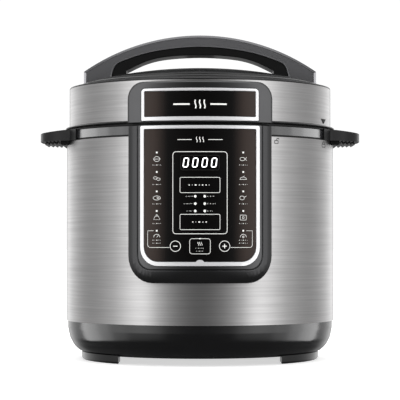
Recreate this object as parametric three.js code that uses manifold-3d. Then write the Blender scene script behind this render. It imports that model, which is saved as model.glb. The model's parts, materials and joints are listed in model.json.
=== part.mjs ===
// Electric pressure cooker of the six litre class, as an assembly of separate parts.
// Millimetres, +Z up, front towards -Y, origin on the table under the middle of the body.
import * as THREE from "three";
import { mergeVertices } from "three/addons/utils/BufferGeometryUtils.js";
import Module from "manifold-3d";

const wasm = await Module();
wasm.setup();

// ---------------------------------------------------------------- driving dimensions
const RIM_SEGMENTS = 36; // facets of the big outer rings
const POT_SEGMENTS = 24; // facets of the pots and the inner lid
const SMALL_SEGMENTS = 16; // facets of knobs, pins and screws
const CORNER_STEPS = 2; // half the facets of a rounded corner
const GAP = 0.3; // between parts that touch
const SHEET_GAP = 0.4; // round openings in the shell, and between the shell and what lies on it
const FAR = 400; // reach of a cutting tool beyond the part
const REACH_IN = 60; // tools that cut the front or the rear reach in to this distance from the middle

const BODY_R = 140; // outside of the steel shell
const SHELL_WALL = 0.8;
const SHELL_BOTTOM = 40.4;
const SHELL_TOP = 226;
const COLLAR_R = 139.6; // outside of the collar band
const COLLAR_TOP = 237.2;
const LID_R = 137.4; // outside of the lid band
const LIP_R = 141.5; // outside of the lid's flared lip
const LIP_BOTTOM = 238.8;
const LIP_TOP = 241.3;
const LID_BAND_TOP = 281.2;
const DOME_TOP = 303.5;
const DOME_RIM_R = 113.5;
const DOME_SPHERE_R = 472;
const DOME_STEP_R = 60; // where the dome's facets change between the middle and the rim
const COVER_WALL = 2.2;
const SKIRT_INNER_R = 134; // inside of the cover's skirt
const SKIRT_OUTER_R = 136.3;
const BAND_SHEET = 0.8; // thickness of the lid's steel band

const FACE_R = 146.6; // front of the panel housing and of the windows
const TRIM_R = 148; // front of the silver frames and back of the condensate cup
const LID_TRIM_R = 147.6; // front of the lid's silver frame
const SEAT_R = 144.6; // seat of windows and frames in the housing
const HOUSING = { halfWidth: 70.2, bottom: 81.8, top: 236, corner: 27 };
const FRAME = { halfWidth: 58.1, bottom: 98.8, top: 235.4, corner: 18 };
const GLASS = { halfWidth: 54, bottom: 103.7, top: 231.3, corner: 14 };
const BEZEL = { halfWidth: 69.7, bottom: 238.6, top: 279, corner: 17 };
const LID_FRAME = { halfWidth: 57.5, bottom: 240.2, top: 271.8, corner: 3.5 };
const LID_GLASS = { halfWidth: 53.7, bottom: 244, top: 268.1, corner: 1 };
const BOARD_BOX = { halfWidth: 48, bottom: 108.5, top: 217.4, corner: 6, wall: 2, back: -129 };
const BEZEL_HOLLOW = { halfWidth: 66.5, bottom: 242.5, top: 276, corner: 14, innerR: 100, wall: 1.4 };
const BEZEL_SEAT = { halfWidth: 70.1, bottom: 230, top: 250 }; // notch for the bezel in the lid's lip
const BOARD_FRONT = -133;
const BOARD_THICKNESS = 1.6;
const CONTROL_BOARD = { halfWidth: 46.5, bottom: 111, top: 215.5 };
const DISPLAY = { halfWidth: 18.6, bottom: 192, top: 206, front: -141.5 };
const KEY_STEM = { half: 2, front: -145, end: -139.4 };
const KEY_SWITCH = { half: 3, front: -137, plungerHalf: 1.6, plungerRoot: -136, tip: -138.6 };
const KEYS = [
  { name: "fine_adjust", x: 0, z: 177.35, halfWidth: 19.9, halfHeight: 7.95, corner: 1.5 },
  { name: "function", x: 0, z: 141.45, halfWidth: 19.9, halfHeight: 7.95, corner: 1.5 },
  { name: "warm_cancel", x: 0, z: 117.9, halfWidth: 10.5, halfHeight: 7.9, corner: 3 },
  { name: "minus", x: -23.9, z: 118, halfWidth: 5.6, halfHeight: 5.6, corner: 5.5 },
  { name: "plus", x: 23.9, z: 118, halfWidth: 5.6, halfHeight: 5.6, corner: 5.5 },
];

const OUTER_POT_R = 114.7;
const OUTER_POT_FLOOR = 50;
const POT_R = 111; // outside of the removable inner pot
const POT_WALL = 1.2;
const POT_FLOOR = 72;
const POT_RIM = 231.5; // underside of the inner pot's rim, on the outer pot's flange
const POT_FLANGE = { r: 118.5, bottom: 229, top: 231.2 };
const LUGS = 6; // bayonet lugs on the pot and on the lid
const LUG_WIDTH = 28; // degrees
const POT_LUG = { inner: 117, outer: 124 };
const LID_LUG = { inner: 119.5, outer: 126.6, height: 2.5 };
const SKIRT_R = 128; // outside of the inner lid's skirt, which hangs in the moat
const SKIRT_BOTTOM = 225.3;
const LID_PLATE = 240.8; // underside of the inner lid over the sealing ring
const PIPE_HOLE_R = 5.5;
const PIN_HOLE_R = 3.3;
const VALVE_HOLE_R = 10; // in the cover
const FLOAT_HOLE_R = 4.5;
const LID_HOLES = { bottom: 230, top: 330 }; // heights between which the lid's holes are cut
const VALVE_Y = 70;
const FLOAT = { x: 30, y: 78 };
const KNOB_BAR = { halfLength: 14, halfWidth: 3.5, bottom: 305, top: 311 };
const SHIELD_SLOT = { pitch: 5, half: 1, reach: 20, bottom: 241, top: 245 };
const SPRING = { turns: 4, stepsPerTurn: 10, coilR: 9.6, wireR: 0.8, bottom: 52.4, height: 13.4 };

const HANDLE_ARC_R = 213;
const HANDLE_TOP = 338.5;
const HANDLE_HALF_SPAN = 121.8;
const HANDLE_HALF_DEPTH = 18;
const GRIP_HALF_DEPTH = 16;
const HANDLE_SCREW_X = 108;
const HANDLE_SCREW_HOLE_R = 2.1;
const HANDLE_SCREW_HOLE_TOP = 298;
const COVER_SCREW_HOLE_R = 2.3;
const HANDLE_FOOT_X = 93; // inner side of the upper shell's feet
const HANDLE_FOOT_Z = 270; // the feet are drawn down to here, then cut to the cover
const GRIP_SPAN = 0.9955; // the grip's span to the shell's, so that a gap stays at its ends
// Lower edge of the handle's upper shell, from an end to the middle: [x, z].
const HANDLE_UNDERSIDE = [[93, 296], [89, 307], [78, 313], [52, 321], [17, 326], [0, 327]];
// Lower edge of the grip insert, from an end to the middle: [x, z].
const GRIP_UNDERSIDE = [[77, 301.5], [56.5, 311], [34.6, 316], [0, 318]];

const SIDE_TIP_X = 167;
const SIDE_ROOT_TOP = 237.4;
const SIDE_TIP_TOP = 234.6;
const SIDE_FLOOR = 226.4; // underside of the handle plate, above the ribs
const SIDE_ROOT = { x: 118, halfWidth: 52 }; // where the plate starts, inside the body
const SIDE_SHOULDER = { x: 137, halfWidth: 47 };
const SIDE_ROUND = { x: 150, halfWidth: 43, tipHalfWidth: 38, tipFlat: 14 };
const SIDE_BLOCK = { from: 120, to: 144, half: 38 }; // thick root under the plate
const BRACKET = { inner: 140.3, outer: 142.2, from: 63, to: 117 };
const RIBS = { count: 4, x: 148, pitch: 4.2, half: 0.9, depth: 3.5, reach: 34, shorter: 2.5 };

// A foot is an arc; its inner end is cut straight, towards the front and the rear.
const FOOT = { inner: 98, outer: 124.3, toe: 122.6, innerEnd: 81.5, to: 83, top: 8.6 };
const COVER_R = 121.4; // bottom cover
const COVER_BOTTOM = 7;
const COVER_TOP = 9.4;
const BOTTOM_SCREW_R = 108;
const VENT = { eachSide: 3, pitch: 9, half: 2, reach: 30 };
const INLET = { halfWidth: 15.5, bottom: 15.2, top: 35.8, inside: 112, face: 141.2 };
const INLET_MOUTH = { halfWidth: 12.2, margin: 2.2, clip: 3.8, back: 125 };
const INLET_BOSS = { side: 3.5, rim: 2.6, root: 126 };
const INLET_PIN = { halfWidth: 1, halfHeight: 2, inside: 106, tip: 139 };
const INLET_PINS = [
  { name: "inlet_pin_earth", x: 0, z: 27.5 },
  { name: "inlet_pin_left", x: -7, z: 23.5 },
  { name: "inlet_pin_right", x: 7, z: 23.5 },
];
const POWER_BOARD = { x: [-80, -8], y: [-60, 40], bottom: 22, top: 23.6 };
// Transformer, relay and heat sink on the power board: [x0, x1, y0, y1, top].
const BOARD_PARTS = [[-72, -42, -50, -22, 44], [-30, -12, -50, -34, 40], [-70, -30, 20, 32, 42]];
const CAPACITOR = { r: 9, x: -24, y: 0, top: 43 };
const PRESSURE_SWITCH = { x: 62, y: -30 };
const CUP = { halfWidth: 27.4, bottom: 173.2, top: 216, inside: 121.6, wall: 1.6 };
const CUP_FACE = { halfWidth: 34, bottom: 167, top: 218, corner: 6, inner: 140.5, outer: 142.8 };
const CUP_HOLDER = { halfWidth: 29.6, bottom: 171, top: 219.6, inside: 119, wall: 1.6 };
const OPEN_TOP = 9; // hollows are cut this far above an open top
const DRAIN = { r: 3.5, y: 125.5, bottom: 200, top: 230 };

// ---------------------------------------------------------------- sections of the round parts
// Each is a loop of [radius, height]; one that starts and ends on the axis is solid.
// Top ring, from its seat on the shell inwards over the drip moat.
const TOP_RING_SECTION = [
  [138.8, 220], [138.8, 226.3], [139.7, 226.3], [139.7, 227.4], [138.2, 227.4], [138.2, 236.6],
  [139.4, 236.6], [139.4, COLLAR_TOP], [130.5, COLLAR_TOP], [130.5, 222], [117.6, 222],
  [117.6, 228.6], [115.6, 228.6], [115.6, 220],
];
const COLLAR_SECTION = [[138.5, 227.7], [COLLAR_R, 227.7], [COLLAR_R, 236.3], [138.5, 236.3]];
const BOWL_SECTION = [
  [92, 9.8], [126.6, 9.8], [133, 16.4], [136.3, 23], [138.6, 33], [138.7, 48],
  [136.2, 48], [136.2, 33], [133.9, 23.5], [130.6, 17.4], [125.8, 12.3], [92, 12.3],
];
const FOOT_SECTION = [
  [FOOT.inner, 0], [FOOT.toe, 0], [124, 1.6], [FOOT.outer, FOOT.top], [COVER_R + 0.4, FOOT.top],
  [COVER_R + 0.4, COVER_BOTTOM - GAP], [FOOT.inner, COVER_BOTTOM - GAP],
];
// Countersunk screw of the bottom cover, and the hole it sits in.
const BOTTOM_SCREW_SECTION = [[0, 7.2], [4.1, 7.2], [4.1, 7.5], [1.7, 9.9], [1.7, 16], [0, 16]];
const COUNTERSINK_SECTION = [[0, 6], [4.6, 6], [4.6, 7.5], [2.2, 9.9], [0, 9.9]];
const BOTTOM_SCREW_PILOT_R = 2;
const PRESSURE_SWITCH_SECTION = [[0, 30], [14, 30], [14, 44], [9, 46], [9, 49.6], [0, 49.6]];
const OUTER_POT_SECTION = [
  [8, OUTER_POT_FLOOR], [OUTER_POT_R, OUTER_POT_FLOOR], [OUTER_POT_R, POT_FLANGE.bottom],
  [POT_FLANGE.r, POT_FLANGE.bottom], [POT_FLANGE.r, POT_FLANGE.top],
  [OUTER_POT_R - POT_WALL, POT_FLANGE.top], [OUTER_POT_R - POT_WALL, OUTER_POT_FLOOR + POT_WALL],
  [8, OUTER_POT_FLOOR + POT_WALL],
];
const HEATER_SECTION = [[25, 52], [90, 52], [92, 54], [92, 68], [88, 71.6], [25, 71.6]];
const SENSOR_SECTION = [
  [0, 44], [6.5, 44], [6.5, 67], [13.2, 67], [14, 67.8], [14, 70.8], [13, 71.7], [0, 71.7],
];
const INNER_POT_SECTION = [
  [0, POT_FLOOR], [98, POT_FLOOR], [106, 75], [110, 81], [POT_R, 90], [POT_R, POT_RIM],
  [116.5, POT_RIM], [116.5, POT_RIM + 1.5], [POT_R - POT_WALL, POT_RIM + 1.5],
  [POT_R - POT_WALL, 90], [108.8, 81.6], [105, 76.2], [97.7, 73.2], [0, 73.2],
];
// Top of the lid's cover outside the dome, over two rings to the rim; not a loop.
const COVER_RINGS = [[117, 287.8], [124, 286.8], [126, 284.8], [132, 283.7], [137.3, 281.5]];
const LIP_SECTION = [
  [129, LIP_BOTTOM], [140.6, LIP_BOTTOM], [LIP_R, 239.6], [LIP_R, 240.6], [139, LIP_TOP],
  [129, LIP_TOP],
];
const HANDLE_SCREW_SECTION = [[0, 283], [4, 283], [4, 286], [1.8, 286], [1.8, 297], [0, 297]];
const INNER_LID_SECTION = [
  [0, 258], [35, 256.1], [70, 250.4], [104, LID_PLATE], [126, LID_PLATE], [126, SKIRT_BOTTOM],
  [SKIRT_R, SKIRT_BOTTOM], [SKIRT_R, 241.6], [133, 241.6], [133, 242.8], [104.4, 242.8],
  [70, 251.8], [35, 257.4], [0, 259.3],
];
const SEAL_SECTION = [
  [108.2, 233.3], [116.5, 233.3], [116.5, 240.3], [108.2, 240.3], [108.2, 238.6],
  [113.5, 238.2], [113.5, 235.4], [108.2, 235],
];
const SEAL_RACK_SECTION = [[105.2, 235.6], [107, 235.6], [107, 240.3], [105.2, 240.3]];
const PIPE_SECTION = [
  [3, 247.5], [5, 247.5], [5, 253.8], [9, 253.8], [9, 255.4], [5, 255.4], [5, 297], [3, 297],
];
const SHIELD_SECTION = [
  [0, 238.6], [11, 238.6], [12, 239.6], [12, 246.6], [10.8, 246.6], [10.8, 240], [0, 240],
];
const KNOB_SECTION = [
  [0, 298.5], [5.7, 298.5], [5.7, 284], [8.6, 284], [8.6, 301.2], [17, 301.2], [17, 305],
  [15.5, 306.6], [0, 306.6],
];
const FLOAT_PIN_SECTION = [
  [0, 236], [2.6, 236], [2.6, 237.6], [5, 237.6], [5, 239.6], [2.6, 239.6], [2.6, 296],
  [2, 296.8], [0, 296.8],
];

// ---------------------------------------------------------------- looks
const LOOKS = {
  brushedSteel: { color: 0xb4b4b6, roughness: 0.34, metalness: 1 },
  polishedSteel: { color: 0xc9cacc, roughness: 0.2, metalness: 1 },
  chrome: { color: 0xe6e7ea, roughness: 0.08, metalness: 1 },
  castAluminium: { color: 0xa7a9ab, roughness: 0.5, metalness: 1 },
  brass: { color: 0xc2a25a, roughness: 0.35, metalness: 1 },
  glossBlack: { color: 0x0b0b0c, roughness: 0.1, metalness: 0 },
  satinBlack: { color: 0x1c1c1d, roughness: 0.4, metalness: 0 },
  satinGrey: { color: 0x4a4a4c, roughness: 0.42, metalness: 0 },
  blackGlass: { color: 0x0e0b0a, roughness: 0.05, metalness: 0 },
  silicone: { color: 0xd9d6cf, roughness: 0.6, metalness: 0 },
  clearPlastic: { color: 0x3c4144, roughness: 0.15, metalness: 0 },
  circuitBoard: { color: 0x1f5a34, roughness: 0.5, metalness: 0 },
};

// ---------------------------------------------------------------- shape helpers

// A closed three.js geometry as a solid for cutting and joining.
function solid(geometry) {
  const bare = geometry.clone();
  bare.deleteAttribute("normal");
  bare.deleteAttribute("uv");
  const merged = mergeVertices(bare, 1e-4);
  const corners = merged.index.array;
  const triVerts = [];
  for (let i = 0; i < corners.length; i += 3) {
    const [a, b, c] = corners.slice(i, i + 3);
    const collapsed = a === b || b === c || c === a;
    if (!collapsed) triVerts.push(a, b, c);
  }
  const vertProperties = merged.attributes.position.array;
  const mesh = new wasm.Mesh({ numProp: 3, vertProperties, triVerts: new Uint32Array(triVerts) });
  return new wasm.Manifold(mesh);
}

// A profile of [radius, height] points turned about the Z axis through (x, y).
// A profile that doesn't start and end on the axis is closed on itself.
function turned(profile, segments, x = 0, y = 0) {
  const onAxis = profile[0][0] === 0 && profile.at(-1)[0] === 0;
  const loop = onAxis ? profile : [...profile, profile[0]];
  let area = 0;
  profile.forEach(([r, z], i) => {
    const [nextR, nextZ] = profile[(i + 1) % profile.length];
    area += r * nextZ - nextR * z;
  });
  const outward = area > 0 ? loop : [...loop].reverse();
  const points = outward.map(([r, z]) => new THREE.Vector2(r, z));
  return solid(new THREE.LatheGeometry(points, segments).rotateX(Math.PI / 2).translate(x, y, 0));
}

// A straight wall ring between two radii.
function tube(inner, outer, bottom, top, segments = RIM_SEGMENTS) {
  return turned([[inner, bottom], [outer, bottom], [outer, top], [inner, top]], segments);
}

function cylinder(radius, bottom, top, x = 0, y = 0, segments = SMALL_SEGMENTS) {
  return turned([[0, bottom], [radius, bottom], [radius, top], [0, top]], segments, x, y);
}

function block(x0, x1, y0, y1, z0, z1) {
  const box = new THREE.BoxGeometry(x1 - x0, y1 - y0, z1 - z0);
  return solid(box.translate((x0 + x1) / 2, (y0 + y1) / 2, (z0 + z1) / 2));
}

// A shape drawn in X and Z, extruded along Y.
function prism(shape, y0, y1, curveSegments = CORNER_STEPS) {
  const options = { depth: y1 - y0, bevelEnabled: false, curveSegments };
  return solid(new THREE.ExtrudeGeometry(shape, options).rotateX(Math.PI / 2).translate(0, y1, 0));
}

// A shape drawn in X and Y, extruded up.
function plan(shape, z0, z1, curveSegments = 2 * CORNER_STEPS) {
  const options = { depth: z1 - z0, bevelEnabled: false, curveSegments };
  return solid(new THREE.ExtrudeGeometry(shape, options).translate(0, 0, z0));
}

// A rectangle in X and Z with its own corner radius at the bottom and at the top.
function roundedRect(x0, x1, z0, z1, bottomR, topR) {
  const shape = new THREE.Shape();
  shape.moveTo(x0 + bottomR, z0);
  shape.lineTo(x1 - bottomR, z0);
  shape.absarc(x1 - bottomR, z0 + bottomR, bottomR, -Math.PI / 2, 0);
  shape.lineTo(x1, z1 - topR);
  shape.absarc(x1 - topR, z1 - topR, topR, 0, Math.PI / 2);
  shape.lineTo(x0 + topR, z1);
  shape.absarc(x0 + topR, z1 - topR, topR, Math.PI / 2, Math.PI);
  shape.lineTo(x0, z0 + bottomR);
  shape.absarc(x0 + bottomR, z0 + bottomR, bottomR, Math.PI, 1.5 * Math.PI);
  return shape;
}

// The panel's outlines: square at the top, round at the bottom.
function panelShape({ halfWidth, bottom, top, corner }, grow = 0) {
  return roundedRect(-halfWidth - grow, halfWidth + grow, bottom - grow, top + grow, corner + grow, 1.5);
}

// The lid bezel's outlines: round at the top, square at the bottom.
function bezelShape({ halfWidth, bottom, top, corner }, grow = 0) {
  return roundedRect(-halfWidth - grow, halfWidth + grow, bottom - grow, top + grow, 1, corner + grow);
}

function keyShape({ x, z, halfWidth, halfHeight, corner }, grow = 0) {
  const w = halfWidth + grow;
  const h = halfHeight + grow;
  return roundedRect(x - w, x + w, z - h, z + h, corner + grow, corner + grow);
}

// The part of a front-facing prism that lies between two radii of the body.
function curvedPlate(shape, innerR, outerR) {
  return prism(shape, -FAR, -REACH_IN).intersect(tube(innerR, outerR, -1, FAR));
}

// A pie slice about the Z axis; angles in degrees from the front, growing towards +X.
function slice(from, to) {
  const shape = new THREE.Shape();
  const steps = Math.ceil((to - from) / 30);
  shape.moveTo(0, 0);
  for (let i = 0; i <= steps; i++) {
    const angle = THREE.MathUtils.degToRad(from + ((to - from) * i) / steps);
    shape.lineTo(FAR * Math.sin(angle), -FAR * Math.cos(angle));
  }
  return plan(shape, -1, FAR);
}

// Bayonet lugs: equal stretches of a ring, the first one at the front.
function lugs(ring) {
  const pieces = [];
  for (let i = 0; i < LUGS; i++) {
    const middle = (i * 360) / LUGS;
    pieces.push(ring.intersect(slice(middle - LUG_WIDTH / 2, middle + LUG_WIDTH / 2)));
  }
  return pieces.reduce((all, piece) => all.add(piece));
}

// Points on a smooth curve through the given ones.
function smoothed(points, steps) {
  const curve = new THREE.SplineCurve(points.map(([x, z]) => new THREE.Vector2(x, z)));
  return curve.getPoints(steps);
}

// Left half and right half of an edge given from its right end to the middle.
function mirrored(edge, drop = 0) {
  const right = edge.map(([x, z]) => [x, z - drop]);
  const left = right.slice(0, -1).reverse().map(([x, z]) => [-x, z]);
  return [...right, ...left];
}

// A block that cuts an opening for a box, with room all round it.
function opening({ halfWidth, bottom, top }, grow, y0, y1) {
  return block(-halfWidth - grow, halfWidth + grow, y0, y1, bottom - grow, top + grow);
}

function meshOf(name, shape, look) {
  const { vertProperties, triVerts } = shape.getMesh();
  const geometry = new THREE.BufferGeometry();
  geometry.setAttribute("position", new THREE.BufferAttribute(new Float32Array(vertProperties), 3));
  geometry.setIndex(new THREE.BufferAttribute(triVerts, 1));
  geometry.computeVertexNormals();
  const mesh = new THREE.Mesh(geometry, new THREE.MeshStandardMaterial(look));
  mesh.name = name;
  return mesh;
}

// ---------------------------------------------------------------- body

function outerShell() {
  const wall = tube(BODY_R - SHELL_WALL, BODY_R, SHELL_BOTTOM, SHELL_TOP);
  const boardOpening = opening(BOARD_BOX, BOARD_BOX.wall + SHEET_GAP, -FAR, -REACH_IN);
  const cupOpening = opening(CUP_HOLDER, SHEET_GAP, REACH_IN, FAR);
  return wall.subtract(boardOpening).subtract(cupOpening);
}

// The black ring on top of the body, with the drip moat that the lid's skirt hangs in.
function topRing() {
  const drain = cylinder(DRAIN.r, DRAIN.bottom, DRAIN.top, 0, DRAIN.y);
  return turned(TOP_RING_SECTION, RIM_SEGMENTS).subtract(drain);
}

function collarBand() {
  return turned(COLLAR_SECTION, RIM_SEGMENTS);
}

// One ear handle. It is drawn for +X, and side is 1 for right and -1 for left.
function sideHandle(side) {
  const { x: roundX, halfWidth: w, tipHalfWidth: tipW, tipFlat } = SIDE_ROUND;
  const outline = new THREE.Shape();
  outline.moveTo(SIDE_ROOT.x, -SIDE_ROOT.halfWidth);
  outline.lineTo(SIDE_SHOULDER.x, -SIDE_SHOULDER.halfWidth);
  outline.bezierCurveTo(roundX, -w, SIDE_TIP_X, -tipW, SIDE_TIP_X, -tipFlat);
  outline.lineTo(SIDE_TIP_X, tipFlat);
  outline.bezierCurveTo(SIDE_TIP_X, tipW, roundX, w, SIDE_SHOULDER.x, SIDE_SHOULDER.halfWidth);
  outline.lineTo(SIDE_ROOT.x, SIDE_ROOT.halfWidth);
  const slope = new THREE.Shape();
  slope.moveTo(SIDE_ROOT.x, SIDE_FLOOR);
  slope.lineTo(SIDE_TIP_X + 1, SIDE_FLOOR);
  slope.lineTo(SIDE_TIP_X + 1, SIDE_TIP_TOP);
  slope.lineTo(BODY_R, SIDE_ROOT_TOP);
  slope.lineTo(SIDE_ROOT.x, SIDE_ROOT_TOP);
  const plate = plan(outline, 0, FAR).intersect(prism(slope, -FAR, FAR));
  const ring = tube(BRACKET.inner, BRACKET.outer, SIDE_FLOOR, SIDE_ROOT_TOP);
  const { from, to, half } = SIDE_BLOCK;
  const root = block(from, to, -half, half, SIDE_FLOOR - RIBS.depth - 0.6, SIDE_FLOOR + 1);
  let handle = plate.add(ring.intersect(slice(BRACKET.from, BRACKET.to)));
  handle = handle.add(root.intersect(plan(outline, 0, FAR)));
  for (let i = 0; i < RIBS.count; i++) {
    const x = RIBS.x + i * RIBS.pitch;
    const reach = RIBS.reach - RIBS.shorter * i;
    const rib = block(
      x - RIBS.half, x + RIBS.half, -reach, reach, SIDE_FLOOR - RIBS.depth, SIDE_FLOOR + 1);
    handle = handle.add(rib);
  }
  handle = handle.subtract(cylinder(BODY_R + GAP, 0, FAR, 0, 0, RIM_SEGMENTS));
  return side > 0 ? handle : handle.mirror([1, 0, 0]);
}

function baseBowl() {
  const { halfWidth, bottom, top, face } = INLET;
  const { side, rim, root } = INLET_BOSS;
  const boss = block(-halfWidth - side, halfWidth + side, root, face, bottom - rim, top + rim);
  const inletOpening = opening(INLET, GAP, REACH_IN, FAR);
  let base = turned(BOWL_SECTION, RIM_SEGMENTS).add(boss).subtract(inletOpening);
  bottomScrewPlaces().forEach(([x, y]) => {
    base = base.subtract(cylinder(BOTTOM_SCREW_PILOT_R, COVER_BOTTOM, SHELL_BOTTOM, x, y));
  });
  return base;
}

function bottomScrewPlaces() {
  return [[0, -1], [1, 0], [0, 1], [-1, 0]].map(([x, y]) => [x * BOTTOM_SCREW_R, y * BOTTOM_SCREW_R]);
}

function bottomCover() {
  let cover = cylinder(COVER_R, COVER_BOTTOM, COVER_TOP, 0, 0, RIM_SEGMENTS);
  bottomScrewPlaces().forEach(([x, y]) => {
    cover = cover.subtract(turned(COUNTERSINK_SECTION, SMALL_SEGMENTS, x, y));
  });
  for (let i = -VENT.eachSide; i <= VENT.eachSide; i++) {
    const x = i * VENT.pitch;
    cover = cover.subtract(block(x - VENT.half, x + VENT.half, -VENT.reach, VENT.reach, 0, FAR));
  }
  return cover;
}

function bottomScrew(x, y) {
  return turned(BOTTOM_SCREW_SECTION, SMALL_SEGMENTS, x, y);
}

// One foot: an arc under the bottom cover with a lip that rises outside it.
// The front right one is drawn; sideX and sideY are 1 or -1, and mirror it to the other corners.
function foot(sideX, sideY) {
  const arc = turned(FOOT_SECTION, RIM_SEGMENTS).intersect(slice(0, FOOT.to));
  const drawn = arc.intersect(block(FOOT.innerEnd, FAR, -FAR, FAR, -1, FAR));
  const acrossX = sideX > 0 ? drawn : drawn.mirror([1, 0, 0]);
  return sideY < 0 ? acrossX : acrossX.mirror([0, 1, 0]);
}

function powerInlet() {
  const { halfWidth, bottom, top, inside, face } = INLET;
  const { halfWidth: w, margin, clip, back } = INLET_MOUTH;
  const mouth = new THREE.Shape();
  mouth.moveTo(-w, bottom + margin);
  mouth.lineTo(w, bottom + margin);
  mouth.lineTo(w, top - margin - clip);
  mouth.lineTo(w - clip, top - margin);
  mouth.lineTo(clip - w, top - margin);
  mouth.lineTo(-w, top - margin - clip);
  const body = block(-halfWidth, halfWidth, inside, face, bottom, top);
  let inlet = body.subtract(prism(mouth, back, FAR));
  INLET_PINS.forEach(({ x, z }) => {
    inlet = inlet.subtract(inletBlade(x, z, GAP, REACH_IN, back + 1));
  });
  return inlet;
}

function inletBlade(x, z, grow, y0, y1) {
  const w = INLET_PIN.halfWidth + grow;
  const h = INLET_PIN.halfHeight + grow;
  return block(x - w, x + w, y0, y1, z - h, z + h);
}

function powerBoard() {
  const { x, y, bottom, top } = POWER_BOARD;
  const inBoard = top - 0.6; // the parts' feet go into the board
  let board = block(x[0], x[1], y[0], y[1], bottom, top);
  BOARD_PARTS.forEach(([x0, x1, y0, y1, height]) => {
    board = board.add(block(x0, x1, y0, y1, inBoard, height));
  });
  return board.add(cylinder(CAPACITOR.r, inBoard, CAPACITOR.top, CAPACITOR.x, CAPACITOR.y));
}

function pressureSwitch() {
  const { x, y } = PRESSURE_SWITCH;
  const can = turned(PRESSURE_SWITCH_SECTION, SMALL_SEGMENTS, x, y);
  const terminals = block(x - 4, x + 4, y - 3, y + 3, 24, 31);
  return can.add(terminals);
}

// ---------------------------------------------------------------- pots, heater and sensor

function outerPot() {
  const ring = tube(POT_LUG.inner, POT_LUG.outer, POT_FLANGE.bottom, POT_FLANGE.top, POT_SEGMENTS);
  return turned(OUTER_POT_SECTION, POT_SEGMENTS).add(lugs(ring));
}

function heatingPlate() {
  return turned(HEATER_SECTION, POT_SEGMENTS);
}

function thermalSensor() {
  return turned(SENSOR_SECTION, SMALL_SEGMENTS);
}

// The coil spring between the outer pot's floor and the sensor's head.
function sensorSpring() {
  const { turns, stepsPerTurn, coilR, wireR, bottom, height } = SPRING;
  const steps = turns * stepsPerTurn;
  const points = [];
  for (let i = 0; i <= steps; i++) {
    const angle = (2 * Math.PI * i) / stepsPerTurn;
    const z = bottom + (height * i) / steps;
    points.push(new THREE.Vector3(coilR * Math.cos(angle), coilR * Math.sin(angle), z));
  }
  const wire = new THREE.Shape();
  wire.absarc(0, 0, wireR, 0, 2 * Math.PI);
  const extrudePath = new THREE.CatmullRomCurve3(points);
  const options = { steps, curveSegments: 3, bevelEnabled: false, extrudePath };
  return solid(new THREE.ExtrudeGeometry(wire, options));
}

function innerPot() {
  return turned(INNER_POT_SECTION, POT_SEGMENTS);
}

// ---------------------------------------------------------------- front panel

function panelHousing() {
  const box = BOARD_BOX;
  const plate = curvedPlate(panelShape(HOUSING), BODY_R + SHEET_GAP, FACE_R);
  const boxCore = prism(panelShape(box, box.wall), -FAR, box.back + box.wall);
  const boardBox = boxCore.intersect(cylinder(SEAT_R - GAP, 0, FAR, 0, 0, RIM_SEGMENTS));
  const hollow = prism(panelShape(box), -FAR, box.back);
  const seat = curvedPlate(panelShape(FRAME, GAP), SEAT_R, FAR);
  return plate.add(boardBox).subtract(hollow).subtract(seat);
}

function panelFrame() {
  const outer = curvedPlate(panelShape(FRAME), SEAT_R + GAP, TRIM_R);
  return outer.subtract(prism(panelShape(GLASS), -FAR, -REACH_IN));
}

function panelWindow() {
  let glass = curvedPlate(panelShape(GLASS, -GAP), SEAT_R + GAP, FACE_R);
  KEYS.forEach((key) => {
    glass = glass.subtract(prism(keyShape(key, GAP), -FAR, -REACH_IN));
  });
  return glass;
}

function keyCap(key) {
  const { half, front, end } = KEY_STEM;
  const cap = curvedPlate(keyShape(key), SEAT_R - 0.2, FACE_R);
  const stem = block(key.x - half, key.x + half, front, end, key.z - half, key.z + half);
  return cap.add(stem.intersect(cylinder(FACE_R - 1, 0, FAR, 0, 0, RIM_SEGMENTS)));
}

function keySwitch(key) {
  const { half, front, plungerHalf: p, plungerRoot, tip } = KEY_SWITCH;
  const base = block(key.x - half, key.x + half, front, BOARD_FRONT - GAP, key.z - half, key.z + half);
  const plunger = block(key.x - p, key.x + p, tip, plungerRoot, key.z - p, key.z + p);
  return base.add(plunger);
}

function controlBoard() {
  const { halfWidth, bottom, top } = CONTROL_BOARD;
  return block(-halfWidth, halfWidth, BOARD_FRONT, BOARD_FRONT + BOARD_THICKNESS, bottom, top);
}

function displayModule() {
  const { halfWidth, bottom, top, front } = DISPLAY;
  return block(-halfWidth, halfWidth, front, BOARD_FRONT - GAP, bottom, top);
}

// ---------------------------------------------------------------- condensate cup

function cupHolder() {
  const { halfWidth: w, bottom, top, inside, wall } = CUP_HOLDER;
  const outer = block(-w, w, inside, FAR, bottom, top);
  const hollow = block(
    -w + wall, w - wall, inside + wall, FAR + 1, bottom + wall, top + OPEN_TOP);
  const shape = outer.intersect(cylinder(BODY_R, 0, FAR, 0, 0, RIM_SEGMENTS));
  return shape.subtract(hollow);
}

function condensateCup() {
  const { halfWidth: w, bottom, top, inside, wall } = CUP;
  const body = block(-w, w, inside, FAR, bottom, top);
  const cup = body.intersect(cylinder(TRIM_R, 0, FAR, 0, 0, RIM_SEGMENTS));
  const { halfWidth: faceHalf, bottom: low, top: high, corner, inner, outer } = CUP_FACE;
  const face = prism(roundedRect(-faceHalf, faceHalf, low, high, corner, corner), REACH_IN, FAR);
  const plate = face.intersect(tube(inner, outer, 0, FAR));
  const room = block(-w + wall, w - wall, inside + wall, FAR, bottom + wall, top + OPEN_TOP);
  const hollow = room.intersect(cylinder(TRIM_R - wall, 0, FAR, 0, 0, RIM_SEGMENTS));
  return cup.add(plate).subtract(hollow);
}

// ---------------------------------------------------------------- lid

const domeHeight = (r) => DOME_TOP - (r * r) / (2 * DOME_SPHERE_R);

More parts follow.
